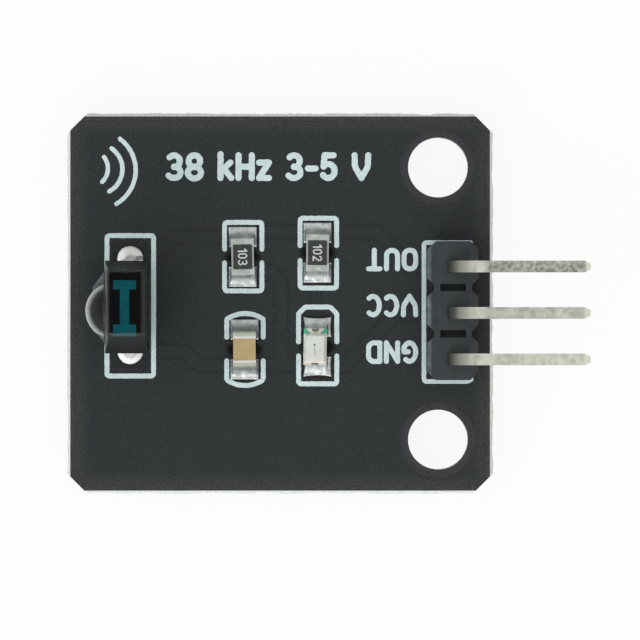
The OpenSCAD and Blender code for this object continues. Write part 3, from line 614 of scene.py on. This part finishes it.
def stroke(builder, points, width, rng, z=BOARD_TOP + 0.001, thickness=INK_T, wobble=0.07):
    """A line of ink along points, with round ends and a slightly uneven edge."""
    path = [Vector((p[0], p[1])) for p in points]
    cuts = [0.0]
    for a, b in zip(path, path[1:]):
        cuts.append(cuts[-1] + (b - a).length)
    length = cuts[-1]
    half = width / 2
    z = z + 0.0012 * (builder.strokes % 5)
    builder.strokes += 1

    def at(s):
        s = min(max(s, 0.0), length)
        for i in range(len(path) - 1):
            if s <= cuts[i + 1] or i == len(path) - 2:
                span = max(cuts[i + 1] - cuts[i], 1e-9)
                return path[i].lerp(path[i + 1], (s - cuts[i]) / span)

    def heading(s):
        d = at(s + 0.04) - at(s - 0.04)
        return d.normalized()

    count = max(int(length / 0.09), 2)
    ends = [math.radians(a) for a in (4, 25, 45, 65, 82)]
    stops = [(-half * math.cos(a), math.sin(a)) for a in ends]
    stops += [(length * i / count, 1.0) for i in range(count + 1)]
    stops += [(length + half * math.cos(a), math.sin(a)) for a in reversed(ends)]
    rows = []
    for s, share in stops:
        d = heading(min(max(s, 0.001), length - 0.001))
        centre = at(s) + d * (min(s, 0.0) + max(s - length, 0.0))
        normal = Vector((-d.y, d.x))
        left = half * share * (1 + rng.uniform(-wobble, wobble))
        right = half * share * (1 + rng.uniform(-wobble, wobble))
        row = []
        for t, h in ((-1.0, -0.1), (-0.96, 0.75), (-0.8, 1.0), (0.8, 1.0), (0.96, 0.75), (1.0, -0.1)):
            p = centre + normal * (t * (left if t < 0 else right))
            row.append(Vector((p.x, p.y, z + thickness * h)))
        rows.append(row)
    start = builder.grid(rows)
    width_n = len(rows[0])
    builder.cap(start, width_n)
    builder.cap(start + (len(rows) - 1) * width_n, width_n)
    for i in range(len(rows) - 1):
        a = start + i * width_n
        b = a + width_n
        builder.faces.append((a, b, b + width_n - 1, a + width_n - 1))


def arc(cx, cy, rx, ry, start, stop, steps=14):
    """Points along part of an ellipse, between two angles in degrees."""
    angles = [math.radians(start + (stop - start) * i / steps) for i in range(steps + 1)]
    return [(cx + rx * math.cos(a), cy + ry * math.sin(a)) for a in angles]


def loop(cx, cy, rx, ry, square=1.0):
    """A closed ellipse as two strokes, so that no stroke lies on itself; squarer below 1."""
    halves = []
    for start in (90, -90):
        half = []
        for x, y in arc(0, 0, 1, 1, start, start + 180, 18):
            half.append((cx + rx * math.copysign(abs(x) ** square, x), cy + ry * math.copysign(abs(y) ** square, y)))
        halves.append(half)
    return halves


def letters():
    """Strokes of each letter, in units of the height, and its width."""
    return {
        "O": (0.62, loop(0.31, 0.5, 0.31, 0.5, 0.7)),
        "U": (0.58, [[(0, 1), (0, 0.3)] + arc(0.29, 0.29, 0.29, 0.29, 180, 360)[1:] + [(0.58, 1)]]),
        "T": (0.6, [[(0, 1), (0.6, 1)], [(0.3, 1), (0.3, 0)]]),
        "V": (0.64, [[(0, 1), (0.02, 0.5), (0.32, 0)], [(0.32, 0), (0.62, 0.5), (0.64, 1)]]),
        "C": (0.56, [arc(0.33, 0.5, 0.33, 0.5, 52, 308, 20)]),
        "G": (0.62, [arc(0.33, 0.5, 0.33, 0.5, 52, 330, 22), [(0.62, 0.22), (0.62, 0.48)], [(0.62, 0.48), (0.4, 0.48)]]),
        "N": (0.6, [[(0, 0), (0, 1)], [(0, 1), (0.6, 0)], [(0.6, 0), (0.6, 1)]]),
        "D": (0.6, [[(0, 0), (0, 1)],
                    [(0, 1), (0.32, 1)] + arc(0.32, 0.72, 0.28, 0.28, 90, 0, 8)[1:]
                    + arc(0.32, 0.28, 0.28, 0.28, 0, -90, 8) + [(0, 0)]]),
        "k": (0.5, [[(0, 0), (0, 1.05)], [(0.46, 0.68), (0.02, 0.28)], [(0.17, 0.4), (0.5, 0)]]),
        "H": (0.62, [[(0, 0), (0, 1)], [(0.62, 0), (0.62, 1)], [(0, 0.5), (0.62, 0.5)]]),
        "z": (0.46, [[(0, 0.68), (0.46, 0.68)], [(0.46, 0.68), (0, 0)], [(0, 0), (0.46, 0)]]),
        "0": (0.56, loop(0.28, 0.5, 0.28, 0.5, 0.8)),
        "1": (0.3, [[(0.02, 0.78), (0.3, 1)], [(0.3, 1), (0.3, 0)]]),
        "2": (0.54, [arc(0.27, 0.72, 0.27, 0.28, 160, -20, 12) + [(0, 0)], [(0, 0), (0.54, 0)]]),
        "3": (0.56, [arc(0.25, 0.74, 0.27, 0.26, 140, -90, 14), arc(0.25, 0.25, 0.31, 0.25, 90, -145, 16)]),
        "5": (0.56, [[(0.5, 1), (0.08, 1)], [(0.08, 1), (0.03, 0.5)], arc(0.25, 0.31, 0.3, 0.31, 125, -145, 18)]),
        "8": (0.6, loop(0.3, 0.74, 0.27, 0.26) + loop(0.3, 0.24, 0.31, 0.26)),
        "-": (0.36, [[(0, 0.42), (0.36, 0.42)]]),
        " ": (0.24, []),
    }


def write(builder, words, centre, height, width, stroke_w, turn, rng, **options):
    """Letters about centre, height and width between their strokes' middles."""
    shapes = letters()
    gap = 0.34
    total = sum(shapes[c][0] for c in words) + gap * (len(words) - 1)
    stretch = width / (total * height)
    spin = Matrix.Rotation(math.radians(turn), 2)
    x = -total / 2
    for c in words:
        wide, lines = shapes[c]
        for line in lines:
            spots = [spin @ Vector(((x + px) * height * stretch, (py - 0.5) * height)) for px, py in line]
            stroke(builder, [(p.x + centre[0], p.y + centre[1]) for p in spots], stroke_w, rng, **options)
        x += wide + gap


def through(a, b, c, steps=16):
    """Points along the circle's arc from a through b to c."""
    ax, ay, bx, by, cx, cy = *a, *b, *c
    d = 2 * (ax * (by - cy) + bx * (cy - ay) + cx * (ay - by))
    ux = ((ax * ax + ay * ay) * (by - cy) + (bx * bx + by * by) * (cy - ay) + (cx * cx + cy * cy) * (ay - by)) / d
    uy = ((ax * ax + ay * ay) * (cx - bx) + (bx * bx + by * by) * (ax - cx) + (cx * cx + cy * cy) * (bx - ax)) / d
    r = math.hypot(ax - ux, ay - uy)
    start = math.atan2(ay - uy, ax - ux)
    stop = math.atan2(cy - uy, cx - ux)
    if stop - start > math.pi:
        stop -= 2 * math.pi
    if start - stop > math.pi:
        stop += 2 * math.pi
    return [(ux + r * math.cos(start + (stop - start) * i / steps),
             uy + r * math.sin(start + (stop - start) * i / steps)) for i in range(steps + 1)]


def rounded(points, r=0.13, steps=5):
    """The same line with its inner corners rounded."""
    line = [Vector(p) for p in points]
    out = [line[0]]
    for a, b, c in zip(line, line[1:], line[2:]):
        start = b + (a - b).normalized() * r
        stop = b + (c - b).normalized() * r
        for i in range(steps + 1):
            t = i / steps
            out.append(start.lerp(b, t).lerp(b.lerp(stop, t), t))
    return [tuple(p) for p in out + [line[-1]]]


def part_frames(ink, rng):
    """Printed outlines round the parts."""
    out = Builder()
    width = 0.272
    x0, x1, y0, y1 = 107.0, 153.6, 235.6, 376.0
    stroke(out, rounded(photo_line((120, y0), (x1, y0), (x1, y1), (128, y1))), width, rng)
    stroke(out, rounded(photo_line((122, y0), (x0, y0), (x0, y1), (130, y1))), width, rng)
    stroke(out, rounded(photo_line((470.4, 242.6), (424.0, 242.6), (424.0, 381.4), (468.5, 381.4), (471.3, 379.2))),
           0.255, rng)
    for x0, x1, y0, y1, gap in ((224.6, 261.9, 222.4, 290.9, (249.2, 262.8)),
                                (300.1, 336.6, 218.2, 288.0, (245.6, 260.5))):
        top, low = gap
        stroke(out, rounded(photo_line((x0, top), (x0, y0), (x1, y0), (x1, top))), width, rng)
        stroke(out, rounded(photo_line((x0, low), (x0, y1), (x1, y1), (x1, low))), width, rng)
    x0, x1 = 226.8, 263.2
    for crown, shoulder, end in ((313.5, 319.2, 337.2), (385.4, 379.9, 360.8)):
        line = photo_line((x0, end), (x0, shoulder))
        line += through(*photo_line((x0, shoulder), (245.0, crown), (x1, shoulder)))[1:-1]
        line += photo_line((x1, shoulder), (x1, end))
        stroke(out, line, width, rng)
    x0, x1 = 298.6, 336.8
    stroke(out, rounded(photo_line((x0, 341.8), (x0, 313.6), (305.2, 307.0), (330.2, 307.0), (x1, 313.6), (x1, 341.8)), 0.06),
           width, rng)
    stroke(out, rounded(photo_line((x0, 355.9), (x0, 383.8), (x1, 383.8), (x1, 355.9))), width, rng)
    piece("printed_outlines", out.verts, out.faces, ink, smooth=False, nodes=("legend_frames",))


def legend(ink, digits_ink, rng):
    words = Builder()
    for text, v in (("OUT", 259.5), ("VCC", 305.5), ("GND", 352.1)):
        write(words, text, photo_mm(392.2, v), 1.02, 2.6, 0.28, 180, rng)
    write(words, "38 kHz 3-5 V", photo_mm(268.5, 166.6), 1.25, 11.0, 0.34, 0, rng)
    piece("legend_words", words.verts, words.faces, ink, smooth=False)
    sign = Builder()
    for a, b, c in (((104.1, 157), (107.9, 168.4), (102.2, 181.8)),
                    ((111.7, 148.4), (122.3, 166.5), (109.3, 191.4)),
                    ((120, 138.8), (135.7, 168.4), (116.5, 203.8))):
        stroke(sign, through(*photo_line(a, b, c)), 0.245, rng)
    piece("legend_sign", sign.verts, sign.faces, ink, smooth=False)
    digits = Builder()
    for text, part in (("103", "pullup_resistor"), ("102", "led_resistor")):
        low, high = box_mm(part + "_cover")
        write(digits, text, (low + high) / 2, 0.46, 0.86, 0.078, TURNS[part] - 90, rng,
              z=high.z + 0.001, thickness=0.004)
    piece("value_digits", digits.verts, digits.faces, digits_ink, smooth=False)


def led_details(green, wire, rng):
    """The slanted polarity marks, and the crystal and its wires seen through the lens."""
    low, high = box_mm("led_polarity_marks")
    out = Builder()
    for edge, inward in ((low.x, 1), (high.x, -1)):
        plan = [(edge, high.y), (edge + inward * 0.14, high.y), (edge + inward * 0.35, low.y), (edge, low.y)]
        start = out.grid([[Vector((x, y, z)) for x, y in plan] for z in (low.z, high.z)], closed=True)
        out.cap(start, 4)
        out.cap(start + 4, 4)
    piece("polarity_marks", out.verts, out.faces, green, smooth=False, nodes=("led_polarity_marks",))
    top = box_mm("led_lens")[1].z + 0.001
    out = Builder()
    stroke(out, photo_line((314.3, 344.4), (314.7, 345.2)), 0.11, rng, z=top, thickness=0.004)
    stroke(out, photo_line((314.8, 347.5), (314.8, 355.5)), 0.032, rng, z=top, thickness=0.004)
    piece("led_crystal_seen", out.verts, out.faces, wire, smooth=False)


# Solder

def rounded_depth(x, y, half_x, half_y, r):
    """Distance inside a rounded rectangle about the origin, negative outside."""
    dx = abs(x) - (half_x - r)
    dy = abs(y) - (half_y - r)
    return r - math.hypot(max(dx, 0.0), max(dy, 0.0)) - min(max(dx, dy), 0.0)


def smooth(t):
    t = min(max(t, 0.0), 1.0)
    return t * t * (3 - 2 * t)


def chip_fillets(name, part, rise, lip, metal, rng, horns=0.0):
    """Solder on a chip's two pads: a rounded pool that climbs the chip's ends."""
    pads = middle(part + "_solder")
    chip = middle(part + "_terminals") - pads
    spin = Matrix.Rotation(-math.radians(TURNS[part]), 2)
    out = Builder()
    for side in (-1, 1):
        inner = PADS_SPAN / 2 - PAD_L
        lump = rng.uniform(0.92, 1.06)
        seed = rng.uniform(0, 50)
        rows = []
        for i in range(33):
            row = []
            for j in range(41):
                across = PAD_W * (j / 40 - 0.5)
                out_by = PAD_L * i / 32
                depth = rounded_depth(across, out_by - PAD_L / 2, PAD_W / 2, PAD_L / 2, 0.06)
                x = across * (1 - horns * math.sin(math.pi * i / 32))
                y = side * (inner + out_by * (1 - 1.5 * horns * (1 - (across / (PAD_W / 2)) ** 2)))
                q = spin @ (Vector((x, y)) - chip.xy)
                away = max(abs(q.y) - CHIP_L / 2, 0.0)
                within = min(CHIP_W / 2 - abs(q.x), CHIP_L / 2 - abs(q.y))
                edge = min(max(depth, 0.0) / 0.06, 1.0)
                pool = lip * math.sqrt(1 - (1 - edge) ** 2)
                climb = rise * lump * max(0.0, 1 - away / 0.60) ** 2.0 * smooth(depth / 0.12)
                climb *= smooth((abs(q.y) - (CHIP_L / 2 - TERMINAL_L)) / 0.1)
                climb *= 1.0 - 0.8 * smooth((abs(q.x) - CHIP_W / 2) / 0.1)
                dent = 0.030 * noise.noise(Vector((x * 3 + seed, y * 3, 1.0)))
                dent += 0.010 * noise.noise(Vector((x * 9 + seed, y * 9, 4.0)))
                z = FOIL_TOP + 0.002 + (pool + climb + dent * edge if within < 0.05 else 0.015)
                row.append(Vector((pads.x + x, pads.y + y, z)))
            rows.append(row)
        out.solid_field(rows, FOIL_TOP + 0.0005)
    piece(name, out.verts, out.faces, metal, nodes=(part + "_solder",))


def revolve(builder, centre, profile, rng, rough=0.0, steps=40):
    """A turned form: profile is pairs of radius and height."""
    rows = []
    wobble = [1 + rough * math.sin(3 * 2 * math.pi * j / steps + rng.uniform(0, 1)) for j in range(steps)]
    for r, z in profile:
        rows.append([Vector((centre[0] + r * wobble[j] * math.cos(2 * math.pi * j / steps),
                             centre[1] + r * wobble[j] * math.sin(2 * math.pi * j / steps), z))
                     for j in range(steps)])
    start = builder.grid(rows, closed=True)
    builder.cap(start, steps)
    builder.cap(start + (len(rows) - 1) * steps, steps)


def leaded_solder(name, node, pads, pad_r, wire_r, domed, metal, rng):
    """Cones under the board round the pins, and low domes on top where they show."""
    low, high = box_mm(node)
    out = Builder()
    for place in pads:
        cone = []
        for i in range(13):
            t = i / 12
            cone.append((wire_r + (pad_r - wire_r) * t ** 2.2, low.z + (0.03 - low.z) * t))
        cone.append((wire_r * 0.9, 0.035))
        revolve(out, place, cone, rng, 0.01)
        if domed:
            dome = [(wire_r * 0.8, 1.572)]
            for i in range(17):
                t = i / 16
                dome.append((pad_r * math.cos(t * math.pi / 2) ** 0.8 * 0.999 + 0.02 * t,
                             1.577 + 0.246 * math.sin(t * math.pi / 2) ** 1.2))
            revolve(out, place, dome, rng, 0.008, 56)
    return piece(name, out.verts, out.faces, metal, nodes=(node,))


# Receiver

def cut(bm, point, normal):
    """Cuts away what lies beyond a plane and closes the cut."""
    parts = bm.verts[:] + bm.edges[:] + bm.faces[:]
    made = bmesh.ops.bisect_plane(bm, geom=parts, plane_co=point, plane_no=normal, clear_outer=True)
    rim = [g for g in made["geom_cut"] if isinstance(g, bmesh.types.BMEdge)]
    bmesh.ops.contextual_create(bm, geom=rim)


def loose_object(name, bm):
    mesh = bpy.data.meshes.new(name)
    bm.to_mesh(mesh)
    bm.free()
    obj = bpy.data.objects.new(name, mesh)
    bpy.context.scene.collection.objects.link(obj)
    return obj


def body_shell():
    """The block of the body with its unlike shoulders, edges rounded."""
    bm = bmesh.new()
    bmesh.ops.create_cube(bm, size=1.0)
    bmesh.ops.scale(bm, vec=(BODY_FRONT + BODY_BACK, 2 * BODY_HALF_W, BODY_H), verts=bm.verts)
    bmesh.ops.translate(bm, vec=((BODY_BACK - BODY_FRONT) / 2, 0, BODY_H / 2), verts=bm.verts)
    rise = BODY_H - SHOULDER_H
    for s, run in ((1, SHOULDER_FAR), (-1, SHOULDER_NEAR)):
        cut(bm, (0, s * BODY_HALF_W, SHOULDER_H), Vector((0, s * rise, run)).normalized())
    cut(bm, (-BODY_FRONT, 0, SHOULDER_H), Vector((-rise, 0, BODY_FRONT - BODY_TOP_FRONT)).normalized())
    cut(bm, (BODY_BACK, 0, SHOULDER_H), Vector((rise, 0, BODY_BACK - BODY_TOP_BACK)).normalized())
    bmesh.ops.bevel(bm, geom=bm.edges[:], offset=0.14, segments=4, profile=0.5, affect="EDGES")
    return loose_object("receiver_epoxy", bm)


def nose_block():
    """The wedge under the lens that stands out of the body's front."""
    plan = [(0.2, -2.05), (-BODY_FRONT, -2.05), (-1.95, -1.1), (-1.95, 1.1), (-BODY_FRONT, 2.05), (0.2, 2.05)]
    bm = bmesh.new()
    foot = [bm.verts.new((x, y, 0.02)) for x, y in plan]
    bm.faces.new(foot[::-1])
    head = [bm.verts.new((x, y, 3.3)) for x, y in plan]
    bm.faces.new(head)
    for i in range(len(plan)):
        j = (i + 1) % len(plan)
        bm.faces.new((foot[i], foot[j], head[j], head[i]))
    bmesh.ops.recalc_face_normals(bm, faces=bm.faces)
    bmesh.ops.bevel(bm, geom=bm.edges[:], offset=0.06, segments=3, profile=0.5, affect="EDGES")
    return loose_object("nose_form", bm)


def lens_pillar():
    out = Builder()
    profile = [(LENS_R, 0.02), (LENS_R, 1.0), (LENS_R, 2.0), (LENS_R, 3.0)]
    profile += [(LENS_R * math.cos(a), LENS_TOP - LENS_R + LENS_R * math.sin(a))
                for a in [math.radians(k) for k in range(0, 90, 5)]]
    profile += [(0.02, LENS_TOP)]
    revolve(out, LENS, profile, random.Random(1), 0.0, 72)
    mesh = bpy.data.meshes.new("lens_form")
    mesh.from_pydata(out.verts, [], out.faces)
    obj = bpy.data.objects.new("lens_form", mesh)
    bpy.context.scene.collection.objects.link(obj)
    return obj


def receiver_body(material):
    """The epoxy body: block, nose and lens joined into one solid."""
    body = body_shell()
    joined = [nose_block(), lens_pillar()]
    for other in joined:
        mod = body.modifiers.new("join", "BOOLEAN")
        mod.operation = "UNION"
        mod.solver = "EXACT"
        mod.object = other
    bpy.context.view_layer.update()
    made = bpy.data.meshes.new_from_object(body.evaluated_get(bpy.context.evaluated_depsgraph_get()))
    for obj in [body] + joined:
        bpy.data.objects.remove(obj)
    made.transform(Matrix.Scale(MM, 4) @ Matrix.Translation(BODY_FOOT))
    made.polygons.foreach_set("use_smooth", [True] * len(made.polygons))
    made.set_sharp_from_angle(angle=math.radians(32))
    obj = place_mesh("receiver_epoxy", made, material, ("receiver_body",))
    normals = obj.modifiers.new("even_normals", "WEIGHTED_NORMAL")
    normals.keep_sharp = True


# Stage

def camera():
    data = bpy.data.cameras.new("camera")
    centre = photo_mm(IMAGE_PX / 2, IMAGE_PX / 2)
    data.sensor_width = 36.0
    data.lens = PX_PER_MM * data.sensor_width * CAMERA_DISTANCE / IMAGE_PX
    data.clip_start = 0.01
    data.clip_end = 10.0
    obj = bpy.data.objects.new("camera", data)
    obj.location = (centre.x * MM, centre.y * MM, (BOARD_TOP + CAMERA_DISTANCE) * MM)
    bpy.context.scene.collection.objects.link(obj)
    bpy.context.scene.camera = obj


def lamp(name, place, size, power):
    data = bpy.data.lights.new(name, "AREA")
    data.shape = "DISK"
    data.size = size
    data.energy = power
    obj = bpy.data.objects.new(name, data)
    obj.location = place
    aim = Vector((-0.008, 0.0, 0.0)) - Vector(place)
    obj.rotation_euler = aim.to_track_quat("-Z", "Y").to_euler()
    bpy.context.scene.collection.objects.link(obj)


def white_floor(z):
    """White to the eye and in reflections, with the object's faint shadow; clear from below."""
    size = 0.6
    mesh = bpy.data.meshes.new("floor")
    mesh.from_pydata([(-size, -size, z), (size, -size, z), (size, size, z), (-size, size, z)], [], [(0, 1, 2, 3)])
    floor = bpy.data.objects.new("floor", mesh)
    bpy.context.scene.collection.objects.link(floor)
    mat = bpy.data.materials.new("floor_white")
    mat.use_nodes = True
    tree = mat.node_tree
    shader = tree.nodes["Principled BSDF"]
    shader.inputs["Base Color"].default_value = (0.93, 0.93, 0.93, 1.0)
    shader.inputs["Roughness"].default_value = 0.9
    shader.inputs["Specular IOR Level"].default_value = 0.1
    glow = tree.nodes.new("ShaderNodeEmission")
    glow.inputs["Color"].default_value = (1.0, 1.0, 1.0, 1.0)
    glow.inputs["Strength"].default_value = 1.0
    path = tree.nodes.new("ShaderNodeLightPath")
    source = path.outputs["Is Camera Ray"]
    for other in ("Is Glossy Ray", "Is Transmission Ray"):
        either = tree.nodes.new("ShaderNodeMath")
        either.operation = "MAXIMUM"
        tree.links.new(source, either.inputs[0])
        tree.links.new(path.outputs[other], either.inputs[1])
        source = either.outputs["Value"]
    share = tree.nodes.new("ShaderNodeMath")
    share.operation = "MULTIPLY"
    share.inputs[1].default_value = 0.9
    tree.links.new(source, share.inputs[0])
    blend = tree.nodes.new("ShaderNodeMixShader")
    tree.links.new(share.outputs["Value"], blend.inputs[0])
    tree.links.new(shader.outputs["BSDF"], blend.inputs[1])
    tree.links.new(glow.outputs["Emission"], blend.inputs[2])
    below = tree.nodes.new("ShaderNodeMixShader")
    tree.links.new(tree.nodes.new("ShaderNodeNewGeometry").outputs["Backfacing"], below.inputs[0])
    tree.links.new(blend.outputs["Shader"], below.inputs[1])
    tree.links.new(tree.nodes.new("ShaderNodeBsdfTransparent").outputs["BSDF"], below.inputs[2])
    tree.links.new(below.outputs["Shader"], tree.nodes["Material Output"].inputs["Surface"])
    floor.data.materials.append(mat)


def studio_sky():
    """A soft sky, brighter towards -X and -Y, with a dark patch where the camera hangs."""
    world = bpy.data.worlds.new("studio")
    world.use_nodes = True
    tree = world.node_tree
    sky = tree.nodes["Background"]
    sky.inputs["Color"].default_value = (1.0, 1.0, 1.0, 1.0)
    coords = tree.nodes.new("ShaderNodeTexCoord")
    lean = tree.nodes.new("ShaderNodeVectorMath")
    lean.operation = "DOT_PRODUCT"
    lean.inputs[1].default_value = (-0.20, -0.38, 0.0)
    tree.links.new(coords.outputs["Generated"], lean.inputs[0])
    level = tree.nodes.new("ShaderNodeMath")
    level.operation = "ADD"
    level.inputs[1].default_value = 0.88
    tree.links.new(lean.outputs["Value"], level.inputs[0])
    split = tree.nodes.new("ShaderNodeSeparateXYZ")
    tree.links.new(coords.outputs["Generated"], split.inputs["Vector"])
    patch = tree.nodes.new("ShaderNodeMapRange")
    patch.inputs["From Min"].default_value = 0.975
    patch.inputs["From Max"].default_value = 0.992
    patch.inputs["To Min"].default_value = 1.0
    patch.inputs["To Max"].default_value = 0.05
    tree.links.new(split.outputs["Z"], patch.inputs["Value"])
    total = tree.nodes.new("ShaderNodeMath")
    total.operation = "MULTIPLY"
    tree.links.new(level.outputs["Value"], total.inputs[0])
    tree.links.new(patch.outputs["Result"], total.inputs[1])
    tree.links.new(total.outputs["Value"], sky.inputs["Strength"])
    bpy.context.scene.world = world


def stage():
    white_floor(CAD_BOX[0][2])
    studio_sky()
    lamp("key", (-0.22, -0.36, 0.40), 0.16, 0.42)
    bpy.context.scene.view_settings.view_transform = "Standard"


def main():
    stage()
    camera()
    rng = random.Random(3)
    ink = ink_finish()
    solder = joint_finish()
    tin = metal_finish("tin_finish", (0.64, 0.69, 0.65), (0.44, 0.48, 0.45), 0.45, 0.4, 0.005)
    cap_tin = capacitor_tin_finish()
    lead = metal_finish("lead_finish", (0.78, 0.80, 0.79), (0.6, 0.61, 0.6), 0.3, 0.3)
    gold = metal_finish("gold_finish", (0.86, 0.83, 0.74), (0.76, 0.72, 0.62), 0.5, 0.3)
    copper = copper_finish()
    plating = pin_finish()
    housing = header_finish()
    alumina = plastic_finish("alumina_finish", (0.36, 0.38, 0.35), (0.50, 0.52, 0.48), 0.6)
    cover = plastic_finish("resistor_cover_finish", (0.024, 0.030, 0.026), (0.036, 0.042, 0.036), 0.4, 0.09, 0.006)
    cap = plastic_finish("capacitor_finish", (0.44, 0.335, 0.155), (0.53, 0.41, 0.205), 0.5, 0.06)
    silicon = plastic_finish("silicon_finish", (0.08, 0.1, 0.16), (0.12, 0.14, 0.2), 0.12)
    led_board = plastic_finish("led_laminate_finish", (0.66, 0.67, 0.58), (0.76, 0.77, 0.68), 0.5)
    resin = resin_finish()
    crystal = plastic_finish("led_crystal_finish", (0.4, 0.36, 0.1), (0.5, 0.46, 0.16), 0.3)
    green = plastic_finish("green_ink_finish", (0.06, 0.42, 0.25), (0.09, 0.50, 0.31), 0.4)
    digits_ink = plastic_finish("digits_ink_finish", (0.55, 0.60, 0.57), (0.68, 0.72, 0.70), 0.6)
    mask = mask_finish()
    laminate = laminate_finish()
    dress("board_core", laminate)
    dress("solder_mask_top", mask)
    dress("solder_mask_bottom", mask)
    for node in ("copper_top", "copper_bottom"):
        dress(node, copper)
    dress("hole_barrels", tin)
    dress("legend_frames", ink)
    dress("header_housing", housing, 0.08, 3)
    for node in ("header_pin_out", "header_pin_supply", "header_pin_ground"):
        dress(node, plating, 0.06, 3)
    for node in ("receiver_lead_out", "receiver_lead_supply"):
        dress(node, lead, 0.03, 2)
    dress("receiver_lead_ground", shield_finish(), 0.03, 2)
    dress("receiver_photodiode", silicon)
    dress("receiver_amplifier_chip", silicon)
    for part in ("pullup_resistor", "led_resistor"):
        dress(part + "_ceramic", alumina)
        dress(part + "_cover", cover, 0.02, 2)
        dress(part + "_terminals", tin, 0.03, 2)
    dress("capacitor_ceramic", cap, 0.06, 2)
    dress("capacitor_terminals", cap_tin, 0.12, 4)
    dress("led_base", led_board)
    dress("led_terminals", gold)
    dress("led_lens", resin, 0.03, 2)
    dress("led_chip", crystal)
    dress("led_polarity_marks", green)
    snapped_core(laminate)
    fillet = fillet_finish()
    chip_fillets("pullup_resistor_fillets", "pullup_resistor", 0.36, 0.13, fillet, rng)
    chip_fillets("led_resistor_fillets", "led_resistor", 0.36, 0.13, fillet, rng)
    chip_fillets("capacitor_fillets", "capacitor", 0.46, 0.14, fillet, rng)
    chip_fillets("led_fillets", "led", 0.2, 0.11, fillet, rng, 0.05)
    leaded_solder("receiver_joints", "receiver_solder", RECEIVER, 0.74, 0.39, True, solder, rng)
    leaded_solder("header_joints", "header_solder", HEADER, 0.85, 0.5, False, solder, rng)
    receiver_body(epoxy_finish())
    part_frames(ink, rng)
    legend(ink, digits_ink, rng)
    wire = plastic_finish("led_wire_finish", (0.20, 0.20, 0.19), (0.30, 0.30, 0.28), 0.4)
    led_details(green, wire, rng)


main()
